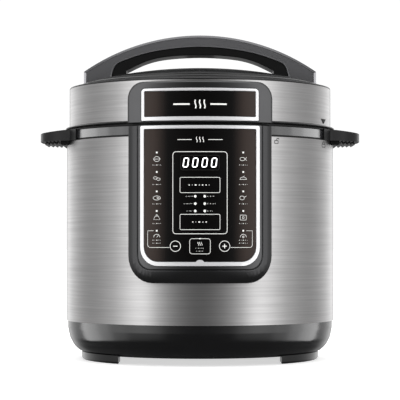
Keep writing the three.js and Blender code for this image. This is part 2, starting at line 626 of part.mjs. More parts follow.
// The top of the lid's cover, from the middle of the dome over two rings to the rim.
function coverTop() {
  return [...[0, DOME_STEP_R, DOME_RIM_R].map((r) => [r, domeHeight(r)]), ...COVER_RINGS];
}

function lidCover() {
  const under = [0, DOME_STEP_R, DOME_RIM_R].map((r) => [r, domeHeight(r) - COVER_WALL]);
  const [rimZ, innerZ] = [281.5, 280]; // the skirt's outer and inner top
  const skirt = [
    [SKIRT_OUTER_R, rimZ], [SKIRT_OUTER_R, LIP_TOP + GAP], [SKIRT_INNER_R, LIP_TOP + GAP],
    [SKIRT_INNER_R, innerZ],
  ];
  const shell = turned([...coverTop(), ...skirt, ...under.reverse()], RIM_SEGMENTS);
  const holes = [
    lidHole(VALVE_HOLE_R, 0, VALVE_Y), lidHole(FLOAT_HOLE_R, FLOAT.x, FLOAT.y),
    lidHole(COVER_SCREW_HOLE_R, -HANDLE_SCREW_X, 0), lidHole(COVER_SCREW_HOLE_R, HANDLE_SCREW_X, 0),
  ];
  return holes.reduce((cover, hole) => cover.subtract(hole), shell);
}

function lidHole(radius, x, y, top = LID_HOLES.top) {
  return cylinder(radius, LID_HOLES.bottom, top, x, y);
}

// Everything up to just above the cover, which the handle is cut to sit on.
function underHandle() {
  const raised = coverTop().map(([r, z]) => [r, z + GAP]);
  const rimZ = raised.at(-1)[1] - GAP;
  return turned([...raised, [FAR, rimZ], [FAR, 0], [0, 0]], RIM_SEGMENTS);
}

function lidBand() {
  return tube(LID_R - BAND_SHEET, LID_R, LIP_TOP + GAP, LID_BAND_TOP);
}

function lidLip() {
  const { halfWidth, bottom, top } = BEZEL_SEAT;
  const seat = curvedPlate(roundedRect(-halfWidth, halfWidth, bottom, top, 1, 1), LID_R, FAR);
  return turned(LIP_SECTION, RIM_SEGMENTS).subtract(seat);
}

function handleShell() {
  const half = Math.asin(HANDLE_HALF_SPAN / HANDLE_ARC_R);
  const shape = new THREE.Shape([new THREE.Vector2(HANDLE_FOOT_X, HANDLE_FOOT_Z)]);
  smoothed(mirrored(HANDLE_UNDERSIDE), 24).forEach(({ x, y }) => shape.lineTo(x, y));
  shape.lineTo(-HANDLE_FOOT_X, HANDLE_FOOT_Z);
  shape.lineTo(-HANDLE_HALF_SPAN, HANDLE_FOOT_Z);
  shape.absarc(
    0, HANDLE_TOP - HANDLE_ARC_R, HANDLE_ARC_R, Math.PI / 2 + half, Math.PI / 2 - half, true);
  shape.lineTo(HANDLE_HALF_SPAN, HANDLE_FOOT_Z);
  const arch = prism(shape, -HANDLE_HALF_DEPTH, HANDLE_HALF_DEPTH, 8);
  const [left, right] = [-HANDLE_SCREW_X, HANDLE_SCREW_X].map((x) =>
    lidHole(HANDLE_SCREW_HOLE_R, x, 0, HANDLE_SCREW_HOLE_TOP));
  return arch.subtract(underHandle()).subtract(left).subtract(right);
}

function handleGrip() {
  const top = mirrored(HANDLE_UNDERSIDE, GAP).map(([x, z]) => [x * GRIP_SPAN, z]);
  const bottom = mirrored(GRIP_UNDERSIDE).reverse();
  const footOuter = top[0][0];
  const footInner = GRIP_UNDERSIDE[0][0];
  const shape = new THREE.Shape([new THREE.Vector2(footOuter, HANDLE_FOOT_Z)]);
  smoothed(top, 24).forEach(({ x, y }) => shape.lineTo(x, y));
  shape.lineTo(-footOuter, HANDLE_FOOT_Z);
  shape.lineTo(-footInner, HANDLE_FOOT_Z);
  smoothed(bottom, 16).forEach(({ x, y }) => shape.lineTo(x, y));
  shape.lineTo(footInner, HANDLE_FOOT_Z);
  return prism(shape, -GRIP_HALF_DEPTH, GRIP_HALF_DEPTH).subtract(underHandle());
}

function handleScrew(x) {
  return turned(HANDLE_SCREW_SECTION, SMALL_SEGMENTS, x, 0);
}

function lidBezel() {
  const { halfWidth, bottom, top, corner, innerR, wall } = BEZEL_HOLLOW;
  const front = curvedPlate(bezelShape(BEZEL), LID_R + SHEET_GAP, FACE_R);
  const back = curvedPlate(
    roundedRect(-halfWidth, halfWidth, bottom, top, 1, corner), innerR, SEAT_R - wall);
  const seat = curvedPlate(bezelShape(LID_FRAME, GAP), SEAT_R, FAR);
  return front.subtract(back).subtract(seat);
}

function lidWindowFrame() {
  const outer = curvedPlate(bezelShape(LID_FRAME), SEAT_R + GAP, LID_TRIM_R);
  return outer.subtract(prism(bezelShape(LID_GLASS), -FAR, -REACH_IN));
}

function lidWindow() {
  return curvedPlate(bezelShape(LID_GLASS, -GAP), SEAT_R + GAP, FACE_R);
}

// The steel pressure lid, with the skirt and the lugs that grip the outer pot.
function innerLid() {
  const { inner, outer, height } = LID_LUG;
  const lidLugs = lugs(tube(inner, outer, SKIRT_BOTTOM, SKIRT_BOTTOM + height, POT_SEGMENTS));
  const pipeHole = lidHole(PIPE_HOLE_R, 0, VALVE_Y);
  const floatHole = lidHole(PIN_HOLE_R, FLOAT.x, FLOAT.y);
  return turned(INNER_LID_SECTION, POT_SEGMENTS).add(lidLugs).subtract(pipeHole).subtract(floatHole);
}

function sealingRing() {
  return turned(SEAL_SECTION, POT_SEGMENTS);
}

function sealRack() {
  return turned(SEAL_RACK_SECTION, POT_SEGMENTS);
}

function steamPipe() {
  return turned(PIPE_SECTION, SMALL_SEGMENTS, 0, VALVE_Y);
}

function antiBlockShield() {
  const { pitch, half, reach, bottom, top } = SHIELD_SLOT;
  let shield = turned(SHIELD_SECTION, SMALL_SEGMENTS, 0, VALVE_Y);
  for (let i = -1; i <= 1; i++) {
    const x = i * pitch;
    shield = shield.subtract(
      block(x - half, x + half, VALVE_Y - reach, VALVE_Y + reach, bottom, top));
  }
  return shield;
}

function steamValve() {
  const { halfLength, halfWidth, bottom, top } = KNOB_BAR;
  const bar = block(-halfLength, halfLength, VALVE_Y - halfWidth, VALVE_Y + halfWidth, bottom, top);
  return turned(KNOB_SECTION, SMALL_SEGMENTS, 0, VALVE_Y).add(bar);
}

function floatPin() {
  return turned(FLOAT_PIN_SECTION, SMALL_SEGMENTS, FLOAT.x, FLOAT.y);
}

// ---------------------------------------------------------------- assembly

function group(...members) {
  const result = new THREE.Group();
  result.add(...members);
  return result;
}

const feet = [[1, -1, "front_right"], [1, 1, "rear_right"], [-1, 1, "rear_left"], [-1, -1, "front_left"]];
const screwNames = ["front", "right", "rear", "left"];

const body = group(
  meshOf("outer_shell", outerShell(), LOOKS.brushedSteel),
  meshOf("top_ring", topRing(), LOOKS.satinBlack),
  meshOf("collar_band", collarBand(), LOOKS.brushedSteel),
  meshOf("side_handle_right", sideHandle(1), LOOKS.satinBlack),
  meshOf("side_handle_left", sideHandle(-1), LOOKS.satinBlack),
  meshOf("base_bowl", baseBowl(), LOOKS.glossBlack),
  meshOf("bottom_cover", bottomCover(), LOOKS.satinBlack),
  ...feet.map(([x, y, place]) => meshOf(`foot_${place}`, foot(x, y), LOOKS.glossBlack)),
  ...bottomScrewPlaces().map(([x, y], i) =>
    meshOf(`bottom_screw_${screwNames[i]}`, bottomScrew(x, y), LOOKS.polishedSteel)),
  meshOf("cup_holder", cupHolder(), LOOKS.satinBlack),
);

const electrics = group(
  meshOf("power_inlet", powerInlet(), LOOKS.satinBlack),
  ...INLET_PINS.map(({ name, x, z }) =>
    meshOf(name, inletBlade(x, z, 0, INLET_PIN.inside, INLET_PIN.tip), LOOKS.brass)),
  meshOf("power_board", powerBoard(), LOOKS.circuitBoard),
  meshOf("pressure_switch", pressureSwitch(), LOOKS.castAluminium),
  meshOf("heating_plate", heatingPlate(), LOOKS.castAluminium),
  meshOf("thermal_sensor", thermalSensor(), LOOKS.polishedSteel),
  meshOf("sensor_spring", sensorSpring(), LOOKS.polishedSteel),
);

const panel = group(
  meshOf("panel_housing", panelHousing(), LOOKS.satinGrey),
  meshOf("panel_frame", panelFrame(), LOOKS.chrome),
  meshOf("panel_window", panelWindow(), LOOKS.blackGlass),
  meshOf("control_board", controlBoard(), LOOKS.circuitBoard),
  meshOf("display_module", displayModule(), LOOKS.satinBlack),
  ...KEYS.map((key) => meshOf(`key_${key.name}`, keyCap(key), LOOKS.blackGlass)),
  ...KEYS.map((key) => meshOf(`switch_${key.name}`, keySwitch(key), LOOKS.satinBlack)),
);

const pots = group(
  meshOf("outer_pot", outerPot(), LOOKS.polishedSteel),
  meshOf("inner_pot", innerPot(), LOOKS.polishedSteel),
  meshOf("condensate_cup", condensateCup(), LOOKS.clearPlastic),
);

const lid = group(
  meshOf("lid_cover", lidCover(), LOOKS.glossBlack),
  meshOf("lid_band", lidBand(), LOOKS.brushedSteel),
  meshOf("lid_lip", lidLip(), LOOKS.satinBlack),
  meshOf("lid_handle", handleShell(), LOOKS.satinGrey),
  meshOf("handle_grip", handleGrip(), LOOKS.satinBlack),
  meshOf("handle_screw_left", handleScrew(-HANDLE_SCREW_X), LOOKS.polishedSteel),
  meshOf("handle_screw_right", handleScrew(HANDLE_SCREW_X), LOOKS.polishedSteel),
  meshOf("lid_bezel", lidBezel(), LOOKS.satinGrey),
  meshOf("lid_window_frame", lidWindowFrame(), LOOKS.chrome),
  meshOf("lid_window", lidWindow(), LOOKS.blackGlass),
  meshOf("inner_lid", innerLid(), LOOKS.polishedSteel),
  meshOf("sealing_ring", sealingRing(), LOOKS.silicone),
  meshOf("seal_rack", sealRack(), LOOKS.polishedSteel),
  meshOf("steam_pipe", steamPipe(), LOOKS.polishedSteel),
  meshOf("anti_block_shield", antiBlockShield(), LOOKS.polishedSteel),
  meshOf("steam_valve", steamValve(), LOOKS.satinBlack),
  meshOf("float_pin", floatPin(), LOOKS.polishedSteel),
);

export default group(body, electrics, panel, pots, lid);
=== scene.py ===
"""Electric pressure cooker: the finished surfaces, modelled round the fixed frame."""

import json
import math
from types import SimpleNamespace

import bmesh
import bpy
from bpy.props import FloatProperty, PointerProperty, StringProperty
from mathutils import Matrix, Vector

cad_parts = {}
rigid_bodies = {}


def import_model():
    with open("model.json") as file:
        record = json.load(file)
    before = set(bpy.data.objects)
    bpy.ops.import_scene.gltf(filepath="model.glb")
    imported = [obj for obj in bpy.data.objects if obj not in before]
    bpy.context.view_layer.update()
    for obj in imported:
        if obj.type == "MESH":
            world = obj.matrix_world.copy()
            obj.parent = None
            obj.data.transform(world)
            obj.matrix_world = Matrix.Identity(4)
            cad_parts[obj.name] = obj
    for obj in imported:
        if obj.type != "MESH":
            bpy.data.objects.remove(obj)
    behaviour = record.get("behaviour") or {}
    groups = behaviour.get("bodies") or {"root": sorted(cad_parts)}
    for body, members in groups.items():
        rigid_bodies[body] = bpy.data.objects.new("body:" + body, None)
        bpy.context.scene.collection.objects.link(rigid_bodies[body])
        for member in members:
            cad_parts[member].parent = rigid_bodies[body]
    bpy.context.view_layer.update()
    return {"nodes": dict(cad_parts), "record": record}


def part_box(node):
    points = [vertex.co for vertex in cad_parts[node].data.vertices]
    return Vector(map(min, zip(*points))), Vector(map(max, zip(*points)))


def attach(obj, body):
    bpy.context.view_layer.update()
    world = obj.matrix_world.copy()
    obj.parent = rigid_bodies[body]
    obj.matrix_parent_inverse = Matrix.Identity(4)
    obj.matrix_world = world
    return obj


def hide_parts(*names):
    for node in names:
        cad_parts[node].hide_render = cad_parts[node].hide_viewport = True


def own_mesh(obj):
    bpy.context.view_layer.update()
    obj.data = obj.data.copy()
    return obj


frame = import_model()

bl_info = {
    "name": "Pressure Cooker",
    "version": (1, 0, 0),
    "blender": (4, 5, 0),
    "location": "View3D > Sidebar > Cooker",
    "description": "Builds the visible pieces and finishes of an electric pressure cooker",
    "category": "Object",
}

MM = 0.001
FULL_TURN = 2 * math.pi
TURN_STEPS = 144  # facets of the body's round pieces
SMALL_STEPS = 64  # facets of knobs, pins and sensors
CORNER_STEPS = 8  # facets of a rounded corner
BEND_STEP = 4.0  # width of the strips that let a flat plate bend, in millimetres
PLATE_R = 147.0  # radius on which the flat front pieces are drawn and bent
FRAME_R = 147.5  # outer radius of the bright frames round the windows
GLASS_R = 146.6  # outer radius of the windows and of the keys in them
SEAT_R = 144.9  # radius of the back of the frames and the windows
HOUSING_R = 141.5  # radius at which the widths of the front housings are measured
THROUGH = (140, 150)  # radii between which a cut goes right through a front piece
VALVE_CENTRE = (0, 70)  # of the steam valve, its pipe and its shield
PIN_CENTRE = (30, 78)  # of the float pin


def place(node):
    """Half width, heights, and reach to the front and the rear of a CAD node, in millimetres."""
    low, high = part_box(node)
    return SimpleNamespace(
        half=high.x / MM, low=low.z / MM, high=high.z / MM, front=-low.y / MM, rear=high.y / MM)


SHELL = place("outer_shell")
RING = place("top_ring")
COLLAR = place("collar_band")
BOWL = place("base_bowl")
COVER = place("lid_cover")
BAND = place("lid_band")
LIP = place("lid_lip")
HANDLE = place("lid_handle")
GRIP = place("handle_grip")
PANEL = place("panel_housing")
FRAME = place("panel_frame")
GLASS = place("panel_window")
BEZEL = place("lid_bezel")
LID_FRAME = place("lid_window_frame")
LID_GLASS = place("lid_window")
POT = place("inner_pot")
OUTER_POT = place("outer_pot")
KEY_NAMES = ["fine_adjust", "function", "warm_cancel", "minus", "plus"]


# ---------------------------------------------------------------- settings a user would change

class CookerSizes(bpy.types.PropertyGroup):
    """Sizes of the finish and of the view."""

    edge: FloatProperty(
        name="Edge rounding", description="Radius on moulded edges", default=0.35 * MM,
        min=0.05 * MM, unit="LENGTH", subtype="DISTANCE")
    brush: FloatProperty(
        name="Brush line spacing", description="Distance between brush lines, drawn coarser than real",
        default=0.9 * MM, min=0.1 * MM, unit="LENGTH", subtype="DISTANCE")
    grain: FloatProperty(
        name="Plastic grain", description="Size of the moulded texture of satin plastic",
        default=0.8 * MM, min=0.1 * MM, unit="LENGTH", subtype="DISTANCE")
    print_height: FloatProperty(
        name="Print height", description="How far the printed lines stand on the window",
        default=0.12 * MM, min=0.02 * MM, unit="LENGTH", subtype="DISTANCE")
    camera_distance: FloatProperty(
        name="Camera distance", description="From the body's axis to the camera",
        default=1.8, min=0.5, unit="LENGTH", subtype="DISTANCE")
    camera_height: FloatProperty(
        name="Camera height", description="Height of the camera over the table",
        default=0.1235, min=0.0, unit="LENGTH", subtype="DISTANCE")
    camera_pitch: FloatProperty(
        name="Camera pitch", description="How far the camera looks up",
        default=math.radians(1.36), subtype="ANGLE")
    lens: FloatProperty(
        name="Lens", description="Focal length on a 36 mm sensor", default=153.5, min=20.0)


class CookerColours(bpy.types.PropertyGroup):
    """Colours of the finishes, as sRGB hex values."""

    steel: StringProperty(name="Brushed steel", description="Body and lid band", default="c6c5c5")
    trim: StringProperty(name="Bright trim", description="Frames round the windows", default="f2f2f4")
    gloss: StringProperty(name="Gloss black", description="Base, feet and lid cover", default="0b0b0c")
    satin: StringProperty(name="Satin black", description="Collar, side handles, grip", default="111112")
    grey: StringProperty(name="Satin grey", description="Handle and panel housings", default="58585a")
    film: StringProperty(name="Window film", description="Middle of the windows", default="050404")
    film_edge: StringProperty(name="Window film edge", description="Sides of the windows", default="342b27")
    ink: StringProperty(name="Printed ink", description="Symbols on the windows", default="e9e9e6")
    floor: StringProperty(name="Floor", description="Table surface", default="f6f6f6")


def sizes():
    return bpy.context.scene.cooker_sizes


def colours():
    return bpy.context.scene.cooker_colours


# ---------------------------------------------------------------- modelling tools

def clear_selection():
    bpy.ops.object.select_all(action="DESELECT")


def make_active(piece):
    clear_selection()
    piece.select_set(True)
    bpy.context.view_layer.objects.active = piece


def draw(name, points):
    """Draws edges from point to point, in millimetres, and stays in edit mode with all selected."""
    clear_selection()
    bpy.ops.mesh.primitive_plane_add(size=MM)
    piece = bpy.context.object
    piece.name = name
    bpy.ops.object.mode_set(mode="EDIT")
    bpy.ops.mesh.select_mode(type="VERT")
    bpy.ops.mesh.select_all(action="SELECT")
    bpy.ops.mesh.merge(type="CENTER")
    bpy.ops.transform.translate(value=Vector(points[0]) * MM)
    for here, there in zip(points, points[1:]):
        step = (Vector(there) - Vector(here)) * MM
        bpy.ops.mesh.extrude_vertices_move(TRANSFORM_OT_translate={"value": step})
    bpy.ops.mesh.select_all(action="SELECT")
    return piece


def close_up():
    """Merges doubles, turns the faces outwards and leaves edit mode."""
    bpy.ops.mesh.select_all(action="SELECT")
    bpy.ops.mesh.remove_doubles(threshold=0.001 * MM)
    bpy.ops.mesh.normals_make_consistent(inside=False)
    bpy.ops.object.mode_set(mode="OBJECT")


def apply_modifier(piece, modifier):
    make_active(piece)
    bpy.ops.object.modifier_apply(modifier=modifier.name)


def soften(piece, radius=None, segments=2, angle=30):
    """Rounds every edge that is sharper than the angle; the radius is in millimetres."""
    bevel = piece.modifiers.new("rounding", "BEVEL")
    bevel.width = sizes().edge if radius is None else radius * MM
    bevel.segments = segments
    bevel.limit_method = "ANGLE"
    bevel.angle_limit = math.radians(angle)
    bevel.use_clamp_overlap = True
    apply_modifier(piece, bevel)
    return piece


def boolean(piece, tool, operation="DIFFERENCE"):
    """Cuts or joins piece with tool, and removes the tool."""
    cutter = piece.modifiers.new("cut", "BOOLEAN")
    cutter.operation = operation
    cutter.solver = "EXACT"
    cutter.object = tool
    apply_modifier(piece, cutter)
    make_active(tool)
    bpy.ops.object.delete()
    return piece


def join(pieces, name):
    """Joins pieces into one object."""
    clear_selection()
    for piece in pieces:
        piece.select_set(True)
    bpy.context.view_layer.objects.active = pieces[0]
    bpy.ops.object.join()
    joined = bpy.context.object
    joined.name = name
    return joined


def pick(piece, wanted):
    """Selects the faces whose centre, in millimetres, and normal pass a test, and nothing else."""
    bpy.ops.mesh.select_mode(type="FACE")
    bpy.ops.mesh.select_all(action="DESELECT")
    mesh = bmesh.from_edit_mesh(piece.data)
    for face in mesh.faces:
        face.select_set(wanted(face.calc_center_median() / MM, face.normal))
    bmesh.update_edit_mesh(piece.data)


def pick_points(piece, wanted):
    """Selects the points whose place, in millimetres, passes a test, and nothing else."""
    bpy.ops.mesh.select_mode(type="VERT")
    bpy.ops.mesh.select_all(action="DESELECT")
    mesh = bmesh.from_edit_mesh(piece.data)
    for point in mesh.verts:
        point.select_set(wanted(point.co / MM))
    mesh.select_flush(True)
    bmesh.update_edit_mesh(piece.data)


def turn(name, profile, centre=(0, 0), steps=TURN_STEPS, rounding=None):
    """Turns a profile of (radius, height) points about an upright axis, as on a lathe."""
    x, y = centre
    points = [(x + r, y, z) for r, z in profile]
    on_axis = profile[0][0] == 0 and profile[-1][0] == 0
    piece = draw(name, points if on_axis else points + points[:1])
    bpy.ops.mesh.spin(
        steps=steps, angle=FULL_TURN, center=(x * MM, y * MM, 0), axis=(0, 0, 1))
    close_up()
    if rounding != 0:
        soften(piece, rounding)
    return piece


def turn_part(name, profile, start, end, rounding=None):
    """Turns a closed profile through part of a turn; angles in degrees from the front to +X."""
    sine, cosine = math.sin(math.radians(start)), -math.cos(math.radians(start))
    piece = draw(name, [(r * sine, r * cosine, z) for r, z in profile])
    bpy.ops.mesh.edge_face_add()
    steps = max(4, round((end - start) * TURN_STEPS / 360))
    bpy.ops.mesh.spin(
        steps=steps, angle=math.radians(end - start), center=(0, 0, 0), axis=(0, 0, -1))
    close_up()
    if rounding != 0:
        soften(piece, rounding)
    return piece


def prism(name, outline, start, end, axis="Y"):
    """Extrudes a closed outline along Y or Z, between two places in millimetres."""
    if axis == "Y":
        points = [(a, start, b) for a, b in outline]
        travel = Vector((0, end - start, 0)) * MM
    else:
        points = [(a, b, start) for a, b in outline]
        travel = Vector((0, 0, end - start)) * MM
    piece = draw(name, points)
    bpy.ops.mesh.edge_face_add()
    bpy.ops.mesh.extrude_region_move(TRANSFORM_OT_translate={"value": travel})
    close_up()
    return piece


def block(name, x, y, z):
    """A box between pairs of X, Y and Z places in millimetres."""
    return prism(name, [(x[0], y[0]), (x[1], y[0]), (x[1], y[1]), (x[0], y[1])], z[0], z[1], "Z")


def flat_plate(name, sides, heights, corners, depths):
    """A plate with round corners in X and Z; corners is the radius at the bottom and at the top."""
    (left, right), (low, high) = sides, heights
    back, front = depths
    piece = draw(name, [(left, back, low), (right, back, low), (right, back, high), (left, back, high)])
    bpy.ops.mesh.edge_face_add()
    middle = (low + high) / 2
    for radius, lower in zip(corners, (True, False)):
        if radius:
            pick_points(piece, lambda p: (p.z < middle) == lower)
            bpy.ops.mesh.bevel(offset=radius * MM, segments=CORNER_STEPS, affect="VERTICES")
    bpy.ops.mesh.select_all(action="SELECT")
    travel = (0, (front - back) * MM, 0)
    bpy.ops.mesh.extrude_region_move(TRANSFORM_OT_translate={"value": travel})
    close_up()
    return piece


def bend_round(piece):
    """Bends a flat piece about the body's axis: X is arc length, and -Y is depth over PLATE_R."""
    make_active(piece)
    bpy.ops.object.mode_set(mode="EDIT")
    across = [v.co.x / MM for v in bmesh.from_edit_mesh(piece.data).verts]
    low, high = min(across), max(across)
    cuts = math.ceil((high - low) / BEND_STEP)
    for i in range(1, cuts):
        bpy.ops.mesh.select_all(action="SELECT")
        x = low + (high - low) * i / cuts
        bpy.ops.mesh.bisect(plane_co=(x * MM, 0, 0), plane_no=(1, 0, 0))
    bpy.ops.object.mode_set(mode="OBJECT")
    bend = piece.modifiers.new("bend", "SIMPLE_DEFORM")
    bend.deform_method = "BEND"
    bend.deform_axis = "Z"
    bend.angle = (high - low) / PLATE_R
    apply_modifier(piece, bend)
    bpy.ops.object.mode_set(mode="EDIT")
    bpy.ops.mesh.select_all(action="SELECT")
    bpy.ops.transform.translate(value=(0, -PLATE_R * MM, 0))
    bpy.ops.object.mode_set(mode="OBJECT")
    return piece


def arc_x(x, radius):
    """Arc length on the drawing radius of a point that ends up at x on a given radius."""
    return PLATE_R * math.asin(x / radius)


def depth(radius):
    """Y place in the flat drawing of a surface that ends up on a given radius."""
    return PLATE_R - radius


def arc(centre, radius, start, end, steps):
    """Points on an arc; angles in degrees, counted from the first axis."""
    x, z = centre
    angles = [math.radians(start + (end - start) * i / steps) for i in range(steps + 1)]
    return [(x + radius * math.cos(a), z + radius * math.sin(a)) for a in angles]


def smooth_line(points, steps):
    """Points on a smooth curve through the given ones, a few to each stretch."""
    ends = [points[0], *points, points[-1]]
    result = [points[0]]
    for a, b, c, d in zip(ends, ends[1:], ends[2:], ends[3:]):
        for i in range(1, steps + 1):
            t = i / steps
            weights = (
                (-t + 2 * t**2 - t**3) / 2, (2 - 5 * t**2 + 3 * t**3) / 2,
                (t + 4 * t**2 - 3 * t**3) / 2, (-t**2 + t**3) / 2)
            result.append(tuple(sum(w * p[k] for w, p in zip(weights, (a, b, c, d))) for k in (0, 1)))
    return result


def finish(piece, finish_material, body, nodes=(), angle=30):
    """Gives a piece its finish and its CAD body, and hides the CAD nodes it stands for."""
    make_active(piece)
    bpy.ops.object.shade_smooth_by_angle(angle=math.radians(angle))
    even = piece.modifiers.new("even shading", "WEIGHTED_NORMAL")
    even.keep_sharp = True
    apply_modifier(piece, even)
    piece.data.materials.clear()
    piece.data.materials.append(finish_material)
    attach(piece, body)
    if nodes:
        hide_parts(*nodes)
    return piece


# ---------------------------------------------------------------- finishes

def linear(hex_colour):
    """An sRGB hex colour as linear red, green, blue and alpha."""
    channels = [int(hex_colour[i:i + 2], 16) / 255 for i in (0, 2, 4)]
    return (*[c / 12.92 if c <= 0.04045 else ((c + 0.055) / 1.055) ** 2.4 for c in channels], 1.0)


def add_node(tree, kind, links=None, **settings):
    """Adds a shader node; settings go to its sockets or properties, links are socket: (node, output)."""
    made = tree.nodes.new(kind)
    for name, value in settings.items():
        socket_name = name.replace("_", " ").strip()
        match = [s for s in made.inputs if s.name.lower() == socket_name.lower()]
        if match:
            match[0].default_value = value
        else:
            setattr(made, name, value)
    for name, (source, output) in (links or {}).items():
        tree.links.new(source.outputs[output], made.inputs[name])
    return made


def new_material(name):
    """An empty material with its output, as (material, node tree, output node)."""
    material = bpy.data.materials.new(name)
    material.use_nodes = True
    tree = material.node_tree
    tree.nodes.clear()
    return material, tree, tree.nodes.new("ShaderNodeOutputMaterial")


def between(tree, pattern, low, high):
    """Spreads a pattern's value over a range, for a roughness that isn't the same all over."""
    spread = add_node(tree, "ShaderNodeMapRange", {"Value": pattern})
    spread.inputs["To Min"].default_value = low
    spread.inputs["To Max"].default_value = high
    return spread


def brushed_stainless():
    """Stainless sheet brushed round the body: level lines stretch each reflection upright."""
    material, tree, output = new_material("stainless steel brushed")
    place_on = add_node(tree, "ShaderNodeTexCoord")
    line = 1 / (sizes().brush * 2)
    stretch = add_node(tree, "ShaderNodeMapping", {"Vector": (place_on, "Object")},
                       Scale=(9, 9, line))
    lines = add_node(tree, "ShaderNodeTexNoise", {"Vector": (stretch, "Vector")},
                     Scale=1.0, Detail=4.0, Roughness=0.65)
    broad = add_node(tree, "ShaderNodeMapping", {"Vector": (place_on, "Object")}, Scale=(5, 5, line / 9))
    bands = add_node(tree, "ShaderNodeTexNoise", {"Vector": (broad, "Vector")}, Scale=1.0, Detail=2.0)
    base = linear(colours().steel)
    spread = add_node(tree, "ShaderNodeMapRange", {"Value": (lines, "Fac")})
    spread.inputs["From Min"].default_value = 0.32
    spread.inputs["From Max"].default_value = 0.68
    tint = add_node(tree, "ShaderNodeMix", {"Factor": (spread, "Result")}, data_type="RGBA")
    tint.inputs[6].default_value = (*[c * 0.84 for c in base[:3]], 1)
    tint.inputs[7].default_value = (*[min(c * 1.06, 1) for c in base[:3]], 1)
    rough = between(tree, (bands, "Fac"), 0.29, 0.34)
    tangent = add_node(tree, "ShaderNodeTangent", direction_type="RADIAL", axis="Z")
    bump = add_node(tree, "ShaderNodeBump", {"Height": (lines, "Fac")},
                    Strength=0.05, Distance=0.05 * MM)
    shader = add_node(tree, "ShaderNodeBsdfPrincipled", {
        "Base Color": (tint, 2), "Roughness": (rough, "Result"), "Tangent": (tangent, "Tangent"),
        "Normal": (bump, "Normal")}, Metallic=1.0, Anisotropic=0.8, Anisotropic_Rotation=0.25)
    tree.links.new(shader.outputs["BSDF"], output.inputs["Surface"])
    return material


def satin_steel(name, roughness, scratch):
    """Drawn steel of the pots and the inner lid: soft shine with faint turning marks."""
    material, tree, output = new_material(name)
    place_on = add_node(tree, "ShaderNodeTexCoord")
    stretch = add_node(tree, "ShaderNodeMapping", {"Vector": (place_on, "Object")}, Scale=(20, 20, scratch))
    marks = add_node(tree, "ShaderNodeTexNoise", {"Vector": (stretch, "Vector")}, Scale=1.0, Detail=3.0)
    rough = between(tree, (marks, "Fac"), roughness - 0.05, roughness + 0.07)
    shader = add_node(tree, "ShaderNodeBsdfPrincipled", {"Roughness": (rough, "Result")},
                      Base_Color=linear("d0d0d1"), Metallic=1.0)
    tree.links.new(shader.outputs["BSDF"], output.inputs["Surface"])
    return material


def metal_or_painted_highlight(name, colour, roughness):
    """Bare brass, a metallic lacquer, or a painted highlight on the handle's edges: a mirror with slight
    waviness from polishing or spraying.
    """
    material, tree, output = new_material(name)
    place_on = add_node(tree, "ShaderNodeTexCoord")
    waves = add_node(tree, "ShaderNodeTexNoise", {"Vector": (place_on, "Object")}, Scale=60.0, Detail=1.0)
    rough = between(tree, (waves, "Fac"), roughness * 0.8, roughness * 1.2)
    shader = add_node(tree, "ShaderNodeBsdfPrincipled", {"Roughness": (rough, "Result")},
                      Base_Color=linear(colour), Metallic=1.0)
    tree.links.new(shader.outputs["BSDF"], output.inputs["Surface"])
    return material


def silver_lacquer():
    """Silver lacquer on ABS: fine metal flakes give a soft, nearly white shine from every side."""
    material, tree, output = new_material("ABS lacquered silver")
    place_on = add_node(tree, "ShaderNodeTexCoord")
    flakes = add_node(tree, "ShaderNodeTexNoise", {"Vector": (place_on, "Object")}, Scale=5000.0)
    rough = between(tree, (flakes, "Fac"), 0.24, 0.28)
    shader = add_node(tree, "ShaderNodeBsdfPrincipled", {"Roughness": (rough, "Result")},
                      Base_Color=linear(colours().trim), Metallic=0.5, IOR=1.5)
    tree.links.new(shader.outputs["BSDF"], output.inputs["Surface"])
    return material


def moulded(name, colour, roughness, grain_depth, sheen=0.5):
    """A moulding, or steel darkened with painted shade: fine texture in the sheen, or a polished skin that
    mirrors.
    """
    material, tree, output = new_material(name)
    place_on = add_node(tree, "ShaderNodeTexCoord")
    grain = add_node(tree, "ShaderNodeTexNoise", {"Vector": (place_on, "Object")},
                     Scale=1 / sizes().grain, Detail=2.0)
    cloud = add_node(tree, "ShaderNodeTexNoise", {"Vector": (place_on, "Object")}, Scale=30.0, Detail=2.0)
    rough = between(tree, (cloud, "Fac"), roughness * 0.88, roughness * 1.12)
    bump = add_node(tree, "ShaderNodeBump", {"Height": (grain, "Fac")},
                    Strength=0.25, Distance=grain_depth * MM)
    shader = add_node(tree, "ShaderNodeBsdfPrincipled", {
        "Roughness": (rough, "Result"), "Normal": (bump, "Normal")},
        Base_Color=linear(colour), IOR=1.5, Specular_IOR_Level=sheen)
    tree.links.new(shader.outputs["BSDF"], output.inputs["Surface"])
    return material


FILM_BLACK, FILM_BROWN = 30, 47  # half widths at which the film stops being black, and is all brown


